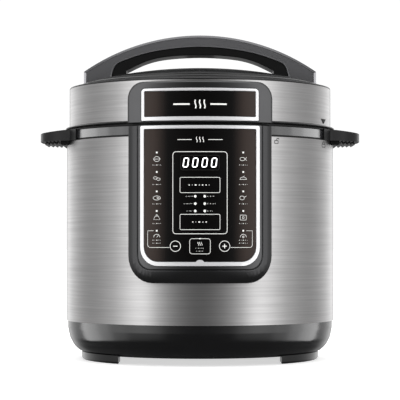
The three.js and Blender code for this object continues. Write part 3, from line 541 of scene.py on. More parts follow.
def window_film():
    """Glossy printed film behind clear acrylic: black in the middle, warm brown towards the sides."""
    material, tree, output = new_material("acrylic window printed film")
    place_on = add_node(tree, "ShaderNodeTexCoord")
    parts = add_node(tree, "ShaderNodeSeparateXYZ", {"Vector": (place_on, "Object")})
    away = add_node(tree, "ShaderNodeMath", {0: (parts, "X")}, operation="ABSOLUTE")
    side = add_node(tree, "ShaderNodeMapRange", {"Value": (away, "Value")}, interpolation_type="SMOOTHSTEP")
    side.inputs["From Min"].default_value = FILM_BLACK * MM
    side.inputs["From Max"].default_value = FILM_BROWN * MM
    tint = add_node(tree, "ShaderNodeMix", {"Factor": (side, "Result")}, data_type="RGBA")
    tint.inputs[6].default_value = linear(colours().film)
    tint.inputs[7].default_value = linear(colours().film_edge)
    dust = add_node(tree, "ShaderNodeTexNoise", {"Vector": (place_on, "Object")}, Scale=90.0, Detail=3.0)
    rough = between(tree, (dust, "Fac"), 0.04, 0.08)
    shader = add_node(tree, "ShaderNodeBsdfPrincipled", {
        "Base Color": (tint, 2), "Roughness": (rough, "Result")}, IOR=1.49, Specular_IOR_Level=0.2)
    tree.links.new(shader.outputs["BSDF"], output.inputs["Surface"])
    return material


def ink(name, colour, lamp_or_painted_glow):
    """Screen-printed ink or a lit display figure: matt, even, slightly rough; the figures glow as a lamp
    does, and the white print gets a faint painted glow.
    """
    material, tree, output = new_material(name)
    place_on = add_node(tree, "ShaderNodeTexCoord")
    speckle = add_node(tree, "ShaderNodeTexNoise", {"Vector": (place_on, "Object")}, Scale=3000.0)
    rough = between(tree, (speckle, "Fac"), 0.5, 0.7)
    shader = add_node(tree, "ShaderNodeBsdfPrincipled", {"Roughness": (rough, "Result")},
                      Base_Color=linear(colour), Emission_Color=linear(colour), Emission_Strength=lamp_or_painted_glow)
    tree.links.new(shader.outputs["BSDF"], output.inputs["Surface"])
    return material


def soft_polymer(name, colour, roughness, transmission):
    """Silicone or smoked polycarbonate: light passes into it, with faint flow clouds."""
    material, tree, output = new_material(name)
    place_on = add_node(tree, "ShaderNodeTexCoord")
    flow = add_node(tree, "ShaderNodeTexNoise", {"Vector": (place_on, "Object")}, Scale=40.0, Detail=2.0)
    rough = between(tree, (flow, "Fac"), roughness * 0.8, roughness * 1.2)
    shader = add_node(tree, "ShaderNodeBsdfPrincipled", {"Roughness": (rough, "Result")},
                      Base_Color=linear(colour), IOR=1.45, Transmission_Weight=transmission)
    tree.links.new(shader.outputs["BSDF"], output.inputs["Surface"])
    return material


def cast_metal():
    """Cast aluminium, turned on its face: fine rings and a dull cast skin."""
    material, tree, output = new_material("aluminium cast")
    place_on = add_node(tree, "ShaderNodeTexCoord")
    rings = add_node(tree, "ShaderNodeTexWave", {"Vector": (place_on, "Object")},
                     wave_type="RINGS", rings_direction="Z", Scale=260.0, Distortion=0.4)
    rough = between(tree, (rings, "Fac"), 0.38, 0.55)
    shader = add_node(tree, "ShaderNodeBsdfPrincipled", {"Roughness": (rough, "Result")},
                      Base_Color=linear("b3b4b5"), Metallic=1.0)
    tree.links.new(shader.outputs["BSDF"], output.inputs["Surface"])
    return material


def circuit_laminate():
    """Glass-epoxy board under green solder resist, with faint copper tracks."""
    material, tree, output = new_material("epoxy laminate green")
    place_on = add_node(tree, "ShaderNodeTexCoord")
    tracks = add_node(tree, "ShaderNodeTexBrick", {"Vector": (place_on, "Object")},
                      Scale=120.0, Mortar_Size=0.04)
    tracks.inputs["Color1"].default_value = linear("1c5a33")
    tracks.inputs["Color2"].default_value = linear("1f6338")
    tracks.inputs["Mortar"].default_value = linear("3c8a52")
    shader = add_node(tree, "ShaderNodeBsdfPrincipled", {"Base Color": (tracks, "Color")},
                      Roughness=0.45)
    tree.links.new(shader.outputs["BSDF"], output.inputs["Surface"])
    return material


FINISHES = {}


def finish_of(key):
    """The finish for a slot or special use; each is made once."""
    makers = {
        "brushed_steel": brushed_stainless,
        "polished_steel": lambda: satin_steel("stainless steel drawn", 0.24, 900),
        "chrome_trim": silver_lacquer,
        "brass": lambda: metal_or_painted_highlight("brass bare", "c9aa60", 0.3),
        "cast_aluminium": cast_metal,
        "gloss_black": lambda: moulded("ABS moulded gloss black", colours().gloss, 0.2, 0.002),
        "satin_black": lambda: moulded(
            "polypropylene moulded satin black", colours().satin, 0.36, 0.03, 0.3),
        "grip_black": lambda: moulded("thermoplastic rubber moulded black", "060606", 0.3, 0.02),
        "satin_grey": lambda: moulded("ABS moulded satin grey", colours().grey, 0.33, 0.015),
        "gunmetal": lambda: metal_or_painted_highlight("ABS lacquered gunmetal", "565657", 0.24),
        # Lighter mirror finish on the handle's edge slopes: painted highlight.
        "edge_painted_highlight": lambda: metal_or_painted_highlight("ABS lacquered silver edge", "727274", 0.25),
        # The collar's steel band gets a near-black colour: painted shade, standing in for the shade and
        # dark reflections on it.
        "steel_painted_shade": lambda: moulded(
            "stainless steel darkened with painted shade", "1c1c1e", 0.16, 0.002, 0.8),
        "black_glass": window_film,
        # The white print glows faintly: painted light, as print is no lamp.
        "ink": lambda: ink("screen print white", colours().ink, 0.25),
        "dim_ink": lambda: ink("screen print dark grey", "2c2a28", 0),
        "dark_ink": lambda: ink("pad print black", "141414", 0),
        "digit": lambda: ink("display figure lit", "ffffff", 1.6),
        "silicone": lambda: soft_polymer("silicone moulded", "dcd9d2", 0.45, 0.15),
        "clear_plastic": lambda: soft_polymer("polycarbonate smoked", "5a6064", 0.08, 0.7),
        "circuit_board": circuit_laminate,
    }
    if key not in FINISHES:
        FINISHES[key] = makers[key]()
    return FINISHES[key]


# ---------------------------------------------------------------- body

SHEET = 0.8  # thickness of the shell
POCKET_GAP = 0.4  # between the shell and the condensate cup's pocket
MOAT_FLOOR = 222  # height of the floor of the ring's drip moat
LIP_GAP = 0.3  # between the ring's middle rail and the lid's lip
# The ring's middle rail, between radii 136.5 and 138, rises to just under the lid's lip: a dark rib put in
# the gap to stand in for its shade, hiding the bright steel behind it.
RING_SECTION = [
    (138.8, RING.low), (138.8, 226.3), (139.7, 226.3), (139.7, 227.4), (138.2, 227.4),
    (138.2, 236.6), (139.4, 236.6), (139.4, RING.high), (138, RING.high), (138, LIP.low - LIP_GAP),
    (136.5, LIP.low - LIP_GAP), (136.5, RING.high), (130.5, RING.high), (130.5, MOAT_FLOOR),
    (117.6, MOAT_FLOOR), (117.6, 228.6), (115.6, 228.6), (115.6, RING.low)]
DRAIN_SECTION = [(0, 200), (3.5, 200), (3.5, 230), (0, 230)]
DRAIN_CENTRE = (0, 125.5)
COLLAR_BACK = 138.5  # inner radius of the collar's steel band


class COOKER_OT_body(bpy.types.Operator):
    """Steel shell, black top ring and steel collar band"""

    bl_idname = "cooker.body"
    bl_label = "Body shell and collar"

    def execute(self, context):
        shell = turn("steel_shell", [
            (SHELL.half - SHEET, SHELL.low), (SHELL.half, SHELL.low), (SHELL.half, SHELL.high),
            (SHELL.half - SHEET, SHELL.high)], rounding=0.15)
        holder = place("cup_holder")
        half = holder.half + POCKET_GAP
        boolean(shell, block("rear_cut", (-half, half), (60, 200),
                             (holder.low - POCKET_GAP, holder.high + POCKET_GAP)))
        finish(shell, finish_of("brushed_steel"), "base", ["outer_shell"])

        ring = turn("collar_ring", RING_SECTION, rounding=0.2)
        boolean(ring, turn("drain_hole", DRAIN_SECTION, DRAIN_CENTRE, SMALL_STEPS, 0))
        finish(ring, finish_of("satin_black"), "base", ["top_ring"])

        band = turn("collar_steel_band", [
            (COLLAR_BACK, COLLAR.low), (COLLAR.half, COLLAR.low), (COLLAR.half, COLLAR.high),
            (COLLAR_BACK, COLLAR.high)], rounding=0.25)
        # Near-black colour on the steel band: painted shade.
        finish(band, finish_of("steel_painted_shade"), "base", ["collar_band"])
        return {"FINISHED"}


EAR_LOW, EAR_HIGH = (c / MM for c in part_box("side_handle_right"))
EAR_FLOOR = 226.4  # height of the plate's underside
EAR_TIP_TOP = 234.6  # height of the plate's top at its tip, lower than at its root
EAR_FLANK = [(118, 52), (137, 46.5), (152, 40), (163, 28), (EAR_HIGH.x, 13)]
BRACKET = (140.3, 142.2)  # inner and outer radius of the ear's bracket round the collar
BRACKET_ENDS = (63, 117)  # degrees from the front
ROOT_HALF = 37  # half width of the block under the ear's root
RIBS = 4
RIB_START, RIB_PITCH = 146.8, 4.2  # of the ribs under the ear, outwards
RIB_HALF, RIB_SHORTER = 33, 3.5  # half width of the first rib, and how much each next one loses


class COOKER_OT_side_handles(bpy.types.Operator):
    """The two ear handles with the ribs under them"""

    bl_idname = "cooker.side_handles"
    bl_label = "Side handles"

    def execute(self, context):
        for side, node in ((1, "side_handle_right"), (-1, "side_handle_left")):
            handle = side_handle(side)
            finish(handle, finish_of("satin_black"), "base", [node])
        return {"FINISHED"}


def side_handle(side):
    """One ear: a plate with rounded tip, its bracket round the collar, and slanted ribs."""
    tip, root_top, bottom = EAR_HIGH.x, EAR_HIGH.z, EAR_LOW.z
    flank = smooth_line(EAR_FLANK, 4)
    outline = [*flank, *[(x, -y) for x, y in reversed(flank)]]
    plate = prism("ear_" + ("right" if side > 0 else "left"), outline, EAR_FLOOR, root_top, "Z")
    slope = [(100, root_top), (SHELL.half, root_top), (tip + 2, EAR_TIP_TOP), (tip + 2, 250),
             (100, 250)]
    boolean(plate, prism("slope_cut", slope, -90, 90))
    inner, outer = BRACKET
    bracket = turn_part("bracket", [
        (inner, EAR_FLOOR), (outer, EAR_FLOOR), (outer, root_top), (inner, root_top)],
        *BRACKET_ENDS, 0)
    boolean(plate, bracket, "UNION")
    root = [(130, EAR_FLOOR + 1), (144.5, EAR_FLOOR + 1), (144.0, bottom + 0.6), (142.5, bottom),
            (130, bottom)]
    boolean(plate, prism("root_block", root, -ROOT_HALF, ROOT_HALF), "UNION")
    for i in range(RIBS):
        x = RIB_START + RIB_PITCH * i
        reach = RIB_HALF - RIB_SHORTER * i
        rib = [(x - 1.3, EAR_FLOOR + 1), (x + 0.9, EAR_FLOOR + 1), (x + 2.2, bottom + 1),
               (x + 1.2, bottom + 1)]
        boolean(plate, prism("rib", rib, -reach, reach), "UNION")
    boolean(plate, turn("collar_clearance", [(0, 200), (inner, 200), (inner, 250), (0, 250)],
                        rounding=0))
    soften(plate, 0.7, 3, 40)
    if side < 0:
        make_active(plate)
        bpy.ops.object.mode_set(mode="EDIT")
        bpy.ops.mesh.select_all(action="SELECT")
        bpy.ops.transform.resize(value=(-1, 1, 1), center_override=(0, 0, 0))
        bpy.ops.mesh.normals_make_consistent(inside=False)
        bpy.ops.object.mode_set(mode="OBJECT")
    return plate


# ---------------------------------------------------------------- base

BOWL_OUTSIDE = [
    (126.6, BOWL.low), (130.5, 13.3), (133, 16.4), (134.6, 19.6), (136.3, 23), (137.5, 28),
    (138.5, 33.4)]
BOWL_INSIDE = [(136.2, 33), (133.9, 23.5), (130.6, 17.4), (125.8, 12.3)]
BOWL_FLOOR_R, BOWL_FLOOR_TOP = 92, 12.3  # inner radius of the bowl's floor, and its upper side
INLET_GAP = 0.3
BOSS_SIDE, BOSS_RISE = 3.5, 2.6  # of the boss round the inlet, beyond it
FOOT_SECTION = [
    (98, 0), (122, 0), (123.6, 0.9), (124.1, 2.4), (124.3, 8.6), (121.9, 8.6), (121.9, 6.7),
    (98, 6.7)]
FOOT_STARTS = {"front_right": 36, "rear_right": 97, "rear_left": 216, "front_left": 277}
FOOT_SWEEP = 47  # degrees, before the inner end is cut straight
VENT_PITCH, VENT_HALF_WIDTH, VENT_HALF_LENGTH = 9, 2, 30
SCREWS = {"front": (0, -108), "right": (108, 0), "rear": (0, 108), "left": (-108, 0)}
COUNTERSINK_SECTION = [(0, 6), (4.6, 6), (4.6, 7.5), (2.2, 9.9), (0, 9.9)]
SCREW_SECTION = [
    (0, 8.2), (1.3, 8), (1.5, 7.2), (3.9, 7.2), (4.1, 7.5), (1.7, 9.9), (1.7, 16), (0, 16)]
MOUTH_HALF, MOUTH_RIM, MOUTH_CLIP = 12.2, 2.2, 3.8  # the inlet's opening, its rim, its top corners
PINS = ("inlet_pin_earth", "inlet_pin_left", "inlet_pin_right")


class COOKER_OT_base(bpy.types.Operator):
    """Gloss bowl, bottom cover, feet and power inlet"""

    bl_idname = "cooker.base"
    bl_label = "Base"

    def execute(self, context):
        bowl = turn("base_shell", [
            (BOWL_FLOOR_R, BOWL.low), *smooth_line(BOWL_OUTSIDE, 3), (138.7, BOWL.high),
            (136.2, BOWL.high), *BOWL_INSIDE, (BOWL_FLOOR_R, BOWL_FLOOR_TOP)])
        inlet = place("power_inlet")
        half = inlet.half
        boss = block("inlet_boss", (-half - BOSS_SIDE, half + BOSS_SIDE), (126, inlet.rear),
                     (inlet.low - BOSS_RISE, inlet.high + BOSS_RISE))
        soften(boss, 1.6, 4)
        boolean(bowl, boss, "UNION")
        boolean(bowl, block("inlet_cut", (-half - INLET_GAP, half + INLET_GAP), (100, 200),
                            (inlet.low - INLET_GAP, inlet.high + INLET_GAP)))
        finish(bowl, finish_of("gloss_black"), "base", ["base_bowl"], 35)

        for corner, start in FOOT_STARTS.items():
            node = "foot_" + corner
            foot = turn_part("arc_" + node, FOOT_SECTION, start, start + FOOT_SWEEP, 0)
            end = min(abs(c / MM) for c in (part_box(node)[0].x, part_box(node)[1].x))
            boolean(foot, block("foot_end", (-end, end), (-200, 200), (-1, 20)))
            soften(foot, 0.6, 3)
            finish(foot, finish_of("gloss_black"), "base", [node])

        cover = place("bottom_cover")
        disc = turn("underside_cover", [
            (0, cover.low), (118.8, cover.low), (121.2, cover.low + 1.4), (cover.half, cover.high),
            (0, cover.high)], rounding=0)
        for i in range(-3, 4):
            x = i * VENT_PITCH
            boolean(disc, block("vent", (x - VENT_HALF_WIDTH, x + VENT_HALF_WIDTH),
                                (-VENT_HALF_LENGTH, VENT_HALF_LENGTH), (0, 20)))
        for centre in SCREWS.values():
            boolean(disc, turn("screw_hole", COUNTERSINK_SECTION, centre, SMALL_STEPS // 2, 0))
        finish(disc, finish_of("satin_black"), "base", ["bottom_cover"])
        for name, centre in SCREWS.items():
            screw = turn("base_screw_" + name, SCREW_SECTION, centre, SMALL_STEPS // 2, 0)
            finish(screw, finish_of("polished_steel"), "base", ["bottom_screw_" + name])
        self.inlet(inlet)
        return {"FINISHED"}

    def inlet(self, inlet):
        """The recessed three-pin socket with clipped top corners."""
        w, low, high = inlet.half, inlet.low, inlet.high
        body = block("inlet_socket", (-w, w), (112, inlet.rear), (low, high))
        soften(body, 0.8, 3)
        floor, shoulder, top = low + MOUTH_RIM, high - MOUTH_RIM - MOUTH_CLIP, high - MOUTH_RIM
        clipped = MOUTH_HALF - MOUTH_CLIP
        mouth = [(-MOUTH_HALF, floor), (MOUTH_HALF, floor), (MOUTH_HALF, shoulder), (clipped, top),
                 (-clipped, top), (-MOUTH_HALF, shoulder)]
        boolean(body, prism("mouth", mouth, 125, 200))
        for pin in PINS:
            pin_low, pin_high = (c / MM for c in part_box(pin))
            slot = block("pin_slot", (pin_low.x - INLET_GAP, pin_high.x + INLET_GAP), (100, 130),
                         (pin_low.z - INLET_GAP, pin_high.z + INLET_GAP))
            boolean(body, slot)
            blade = block(pin + "_blade", (pin_low.x, pin_high.x), (pin_low.y, pin_high.y),
                          (pin_low.z, pin_high.z))
            soften(blade, 0.5, 3)
            finish(blade, finish_of("brass"), "base", [pin])
        finish(body, finish_of("satin_black"), "base", ["power_inlet"])


# ---------------------------------------------------------------- pots, heater and sensor

POT_R, POT_INSIDE, POT_SHEET = 111, 109.8, 1.2  # radii and thickness of the inner pot's wall
POT_CORNER, POT_CORNER_STEPS = 18, 10  # radius of the pot's lower corner
POT_RIM = 1.5  # thickness of the rolled rim
OUTER_POT_R, OUTER_POT_SHEET, OUTER_POT_HOLE = 114.7, 1.2, 8  # wall, and the hole for the sensor
LUG_SHEET, LUG_RING_R, LUG_ROOT_R, LUG_TIP_R = 2.2, 118.5, 117, 124
LUGS, LUG_PITCH, LUG_HALF = 6, 60, 14  # the bayonet's lugs, their pitch and half width in degrees
HEATER = place("heating_plate")
HEATER_SECTION = [
    (25, HEATER.low), (90, HEATER.low), (92, HEATER.low + 2), (92, HEATER.high - 4),
    (90.5, HEATER.high - 1.4), (88, HEATER.high - 0.2), (70, HEATER.high), (25, HEATER.high)]
SENSOR = place("thermal_sensor")
SENSOR_SECTION = [
    (0, SENSOR.low), (6.5, SENSOR.low), (6.5, SENSOR.high - 4.7), (13.2, SENSOR.high - 4.7),
    (14, SENSOR.high - 3.9), (14, SENSOR.high - 0.9), (13, SENSOR.high), (0, SENSOR.high)]
SPRING_TURNS, SPRING_R, SPRING_WIRE_R, SPRING_STEPS = 4, 9.6, 0.75, 24


class COOKER_OT_pots(bpy.types.Operator):
    """Inner pot, outer pot with its lugs, heating plate, thermal sensor and spring"""

    bl_idname = "cooker.pots"
    bl_label = "Pots and heater"

    def execute(self, context):
        outside, inside = POT_R, POT_INSIDE
        low, rim, bend = POT.low, POT.high, POT_CORNER
        outer_corner = arc((outside - bend, low + bend), bend, -90, 0, POT_CORNER_STEPS)
        bend_inside = bend - POT_SHEET
        inner_corner = arc((inside - bend_inside, low + bend), bend_inside, 0, -90, POT_CORNER_STEPS)
        pot = turn("cooking_pot", [
            (0, low), *outer_corner, (outside, rim - POT_RIM), (POT.half, rim - POT_RIM),
            (POT.half, rim), (inside + POT_SHEET, rim), (inside, rim - POT_SHEET), *inner_corner,
            (0, low + POT_SHEET)], rounding=0)
        soften(pot, 0.4, 3, 40)
        finish(pot, finish_of("polished_steel"), "inner_pot", ["inner_pot"])

        wall = turn("outer_pot_wall", outer_pot_section(), rounding=0.2)
        low, high = OUTER_POT.high - LUG_SHEET, OUTER_POT.high
        lugs = lug_ring("pot_lug", (LUG_ROOT_R, LUG_TIP_R), (low, high))
        finish(join([wall, *lugs], "outer_pot_wall"), finish_of("polished_steel"), "base",
               ["outer_pot"])

        plate = turn("heater_casting", HEATER_SECTION, rounding=0.4)
        finish(plate, finish_of("cast_aluminium"), "base", ["heating_plate"])

        head = turn("sensor_head", SENSOR_SECTION, (0, 0), SMALL_STEPS, 0.3)
        finish(head, finish_of("polished_steel"), "thermal_sensor", ["thermal_sensor"])
        spring = finish(coil_spring(), finish_of("polished_steel"), "base", ["sensor_spring"])
        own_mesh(spring)
        return {"FINISHED"}


def outer_pot_section():
    """Floor with a hole in the middle, wall, and a flat ring that carries the lugs."""
    r, floor, top, sheet = OUTER_POT_R, OUTER_POT.low, OUTER_POT.high, OUTER_POT_SHEET
    return [
        (OUTER_POT_HOLE, floor), (r, floor), (r, top - LUG_SHEET), (LUG_RING_R, top - LUG_SHEET),
        (LUG_RING_R, top), (r - sheet, top), (r - sheet, floor + sheet),
        (OUTER_POT_HOLE, floor + sheet)]


def lug_ring(name, radii, heights):
    """The lugs of a bayonet, evenly spaced from the front."""
    (inner, outer), (low, high) = radii, heights
    section = [(inner, low), (outer, low), (outer, high), (inner, high)]
    return [turn_part(name, section, i * LUG_PITCH - LUG_HALF, i * LUG_PITCH + LUG_HALF, 0.3)
            for i in range(LUGS)]


def coil_spring():
    """The wire spring under the sensor: a screw sweep of the wire's round section."""
    low, high = (c.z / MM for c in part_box("sensor_spring"))
    rise = high - low - 2 * SPRING_WIRE_R
    points = []
    steps = SPRING_TURNS * SPRING_STEPS
    for i in range(steps + 1):
        angle = FULL_TURN * i / SPRING_STEPS
        points.append((SPRING_R * math.cos(angle), SPRING_R * math.sin(angle),
                       low + SPRING_WIRE_R + rise * i / steps))
    return stroke("sensor_coil", points, 2 * SPRING_WIRE_R, resolution=3)


def stroke(name, points, width, closed=False, resolution=1):
    """A round line of a given width through points in millimetres."""
    piece = draw(name, [*points, points[0]] if closed else points)
    if closed:
        bpy.ops.mesh.remove_doubles(threshold=0.001 * MM)
    bpy.ops.object.mode_set(mode="OBJECT")
    bpy.ops.object.convert(target="CURVE")
    curve = bpy.context.object
    curve.data.bevel_depth = width / 2 * MM
    curve.data.bevel_resolution = resolution
    curve.data.use_fill_caps = True
    bpy.ops.object.convert(target="MESH")
    return bpy.context.object


# ---------------------------------------------------------------- front panel

# Border round the windows, from its outer edge in: width and rise of each slope, then a flat ledge.
BORDER_STEPS = [(0.8, 1.3), (5.0, 1.9), (6.4, 1.1), (0.9, -1.2), (0.4, 1.1)]
LID_BORDER_STEPS = [(0.6, 1.2), (1.4, 0.8)]
WIDER = 1.1  # how much wider than the CAD's the windows and the openings for them are, each side
OPENING_HALF, OPENING_LOW, OPENING_HIGH = 54, 103.7, 231.3  # of the panel's frame
FRAME_FRONT = 147.9  # radius of the front of the panel's frame
BUMP_R, BUMP_SQUASH, BUMP_HEIGHT = 4, 0.65, 103.2  # the bump in the middle of the lower strip
BUMP_CUT_R = 144.95  # radius behind which the bump is cut off
HOUSING_BACK, HOUSING_PLATE = 140.4, 1.6  # radius of the housing's back, and its plain thickness
HOUSING_SPARE = 18  # how much too tall the housing is drawn, so that its slopes run up to the cut
SEAT_GAP = 0.25  # between a frame and the seat that holds it
SEAT_FLOOR = 144.6  # radius of the seat's floor
KEY_GAP = 0.25
KEY_BACK = 144.4  # radius of the back of the keys
KEY_CORNERS = {"fine_adjust": 1.5, "function": 1.5, "warm_cancel": 3, "minus": 5.4, "plus": 5.4}


class COOKER_OT_panel(bpy.types.Operator):
    """Front housing with its sloped border, bright frame and window"""

    bl_idname = "cooker.panel"
    bl_label = "Front panel"

    def execute(self, context):
        housing = panel_housing()
        finish(housing, finish_of("gunmetal"), "base", ["panel_housing"])

        outer = arc_x(FRAME.half, FRAME_R)
        inner = arc_x(OPENING_HALF, FRAME_R) + WIDER
        trim = flat_plate("bright_frame", (-outer, outer), (FRAME.low, FRAME.high), (18, 1.5),
                          (depth(SEAT_R), depth(FRAME_FRONT)))
        opening = flat_plate("frame_opening", (-inner, inner),
                             (OPENING_LOW - WIDER, OPENING_HIGH + WIDER), (15, 1), cut_through())
        boolean(trim, opening)
        boolean(trim, centre_bump(), "UNION")
        soften(trim, 0.8, 3)
        finish(bend_round(trim), finish_of("chrome_trim"), "base", ["panel_frame"])

        side = arc_x(GLASS.half, GLASS_R) + WIDER
        glass = flat_plate("panel_glass", (-side, side), (GLASS.low - WIDER, GLASS.high + WIDER),
                           (14.7, 1), (depth(SEAT_R), depth(GLASS_R)))
        for key in KEY_NAMES:
            boolean(glass, key_plate("key_cut", key, KEY_GAP, cut_through()))
        soften(glass, 0.15, 2)
        finish(bend_round(glass), finish_of("black_glass"), "base", ["panel_window"])
        return {"FINISHED"}


def cut_through():
    """Depths between which a cut goes right through a front piece."""
    near, far = THROUGH
    return depth(near), depth(far)


def centre_bump():
    """The half-round bump in the middle of the frame's lower strip."""
    bump = turn("centre_bump", [(0, -3), (BUMP_R, -3), (BUMP_R, 3), (0, 3)], (0, 0), SMALL_STEPS, 0)
    make_active(bump)
    bpy.ops.object.mode_set(mode="EDIT")
    bpy.ops.mesh.select_all(action="SELECT")
    bpy.ops.transform.rotate(value=math.radians(90), orient_axis="X", center_override=(0, 0, 0))
    bpy.ops.transform.resize(value=(1, 1, BUMP_SQUASH), center_override=(0, 0, 0))
    bpy.ops.transform.translate(value=Vector((0, depth(SEAT_R), BUMP_HEIGHT - WIDER)) * MM)
    bpy.ops.mesh.bisect(plane_co=(0, depth(BUMP_CUT_R) * MM, 0), plane_no=(0, 1, 0),
                        clear_outer=True, use_fill=True)
    bpy.ops.object.mode_set(mode="OBJECT")
    return bump


def slope_border(piece, steps, cut_height, upwards):
    """Insets the front face step by step, then cuts the piece off level and closes it."""
    make_active(piece)
    bpy.ops.object.mode_set(mode="EDIT")
    pick(piece, lambda centre, normal: normal.y < -0.9)
    for width, rise in steps:
        bpy.ops.mesh.inset(thickness=width * MM, depth=rise * MM)
    bpy.ops.mesh.select_all(action="SELECT")
    bpy.ops.mesh.bisect(plane_co=(0, 0, cut_height * MM), plane_no=(0, 0, upwards),
                        clear_outer=True, use_fill=True)
    close_up()


def panel_housing():
    """The housing drawn too tall, sloped all round, then cut off level under the lid."""
    side = arc_x(PANEL.half, HOUSING_R)
    piece = flat_plate("front_housing", (-side, side), (PANEL.low, PANEL.high + HOUSING_SPARE),
                       (27, 2), (depth(HOUSING_BACK), depth(HOUSING_BACK + HOUSING_PLATE)))
    slope_border(piece, BORDER_STEPS, PANEL.high, 1)
    seat_side = arc_x(FRAME.half, FRAME_R) + SEAT_GAP
    seat = flat_plate("frame_seat", (-seat_side, seat_side),
                      (FRAME.low - SEAT_GAP, FRAME.high + SEAT_GAP), (18.25, 1.7),
                      (depth(SEAT_FLOOR), depth(160)))
    boolean(piece, seat)
    soften(piece, 0.5, 3, 20)
    return bend_round(piece)


def key_plate(name, key, grow, depths):
    """The flat outline of a key, grown all round, between two depths."""
    low, high = (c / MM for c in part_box("key_" + key))
    radius = KEY_CORNERS[key] + grow
    left, right = arc_x(low.x, GLASS_R) - grow, arc_x(high.x, GLASS_R) + grow
    return flat_plate(name, (left, right), (low.z - grow, high.z + grow), (radius, radius), depths)


class COOKER_OT_keys(bpy.types.Operator):
    """The five keys, each with its printed outline and sign"""

    bl_idname = "cooker.keys"
    bl_label = "Keys"

    def execute(self, context):
        for key in KEY_NAMES:
            cap = key_plate("cap_" + key, key, 0, (depth(KEY_BACK), depth(GLASS_R)))
            soften(cap, 0.15, 2)
            finish(bend_round(cap), finish_of("black_glass"), "key_" + key, ["key_" + key])
            marks = print_on(key_marks(key), "print_" + key)
            finish(marks, finish_of("ink"), "key_" + key)
        return {"FINISHED"}


def key_marks(key):
    """The lines printed on a key: its outline and a sign, as (points, width, closed)."""
    low, high = (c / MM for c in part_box("key_" + key))
    x, z = (low.x + high.x) / 2, (low.z + high.z) / 2
    w, h = (high.x - low.x) / 2 - 0.5, (high.z - low.z) / 2 - 0.5
    if key in ("minus", "plus"):
        lines = [(oval(x, z, w, h), 0.6, True), ([(x - 2.1, z), (x + 2.1, z)], 0.85, False)]
        if key == "plus":
            lines.append(([(x, z - 2.1), (x, z + 2.1)], 0.85, False))
        return lines
    lines = [(rounded(x - w, x + w, z - h, z + h, 2.4 if key == "warm_cancel" else 1.2), 0.5, True)]
    if key == "fine_adjust":
        lines += label(x, z, 22, 2.0)
    elif key == "function":
        lines += label(x, z, 15, 2.0)
    else:
        lines += steam(x, z + 2.4, 1.3, 1.7, 0.5)
        lines += label(x, z - 1.9, 8.5, 0.9)
        lines += label(x, z - 4.7, 7.5, 0.9)
        lines.append(([(x - 1, z + h), (x + 1, z + h)], 1.1, False))
    return lines


# ---------------------------------------------------------------- print on the windows

LABEL_DASHES = [0.5, 0.15, 0.9, 0.3, 0.6]  # lengths of a label's dashes, to its height
DASH_GAP, DASH_WIDTH = 1.15, 0.62  # gap between dashes and their width, to the label's height
FINE, THIN = 0.42, 0.38  # line widths of the food signs
DISPLAY_FRAME = (-26.4, 26.4, 130, 209.7)  # left, right, low and high of the border round the display
LAMP_X, LAMP_ROWS = 4.6, [(166.4, 6.5), (159.2, 8.5), (152.1, 5.5)]  # heights, and labels' lengths
LAMP_LABEL_X = 7.2
PROGRAM_X, PROGRAM_ROWS = 42.1, [209.2, 190.2, 171.3, 152.2, 133.0]
LOOP_START_X, LOOP_X, LOOP_LOW, LOOP_R, LOOP_END_X = 29.6, 51, 116.7, 2.7, 45.2
TITLE_HEIGHT, TITLE_DASH = 221.5, (8, 22)  # the panel's title: height, and its dashes' ends
LID_TITLE_HEIGHT, LID_TITLE_DASH = 256, (10, 26)
DISPLAY_BORDER = (-18.6, 18.6, 192, 206.2)
FIGURES_X, FIGURE_HALF = (-13.7, -4.6, 4.6, 13.7), 2.2
FIGURE_LOW, FIGURE_MIDDLE, FIGURE_HIGH, FIGURE_LEAN = 194.9, 199.2, 203.4, 8
# Marks round the body: height, shift of the shackle, drawn width, and angle from the front.
MARK_OPEN, MARK_OPEN_ANGLE = (221.8, 1.6, 1.1), 32.6
MARK_LOCKED, MARK_LOCKED_ANGLE = (221.3, 0, 2.2), 64.3
POINTER_OUTLINE, POINTER_ANGLE = [(-7, 247.9), (7, 247.9), (0, 243.2)], 67


def oval(x, z, half_width, half_height, start=0, end=360, steps=20):
    """Points of an oval, or of a stretch of one; a full one leaves out its last point."""
    count = steps if end - start >= 360 else steps + 1
    angles = [math.radians(start + (end - start) * i / steps) for i in range(count)]
    return [(x + half_width * math.cos(a), z + half_height * math.sin(a)) for a in angles]


def rounded(left, right, low, high, radius):
    """Points of a rectangle with round corners."""
    corners = ((right - radius, high - radius, 0), (left + radius, high - radius, 90),
               (left + radius, low + radius, 180), (right - radius, low + radius, 270))
    return [p for x, z, a in corners for p in arc((x, z), radius, a, a + 90, 4)]


def label(x, z, length, height):
    """A row of small dashes in place of a word, centred on (x, z)."""
    lines = []
    here, end, i = x - length / 2, x + length / 2, 0
    while here < end:
        dash = height * LABEL_DASHES[i % len(LABEL_DASHES)]
        lines.append(([(here, z), (min(here + dash, end), z)], height * DASH_WIDTH, False))
        here += dash + height * DASH_GAP
        i += 1
    return lines


def steam(x, z, pitch, height, width):
    """Three upright waves side by side."""
    lines = []
    for i in (-1, 0, 1):
        wave = [(x + i * pitch * 1.3 + 0.5 * math.sin(FULL_TURN * t / 10), z + height * (t / 5 - 1))
                for t in range(11)]
        lines.append((wave, width, False))
    return lines


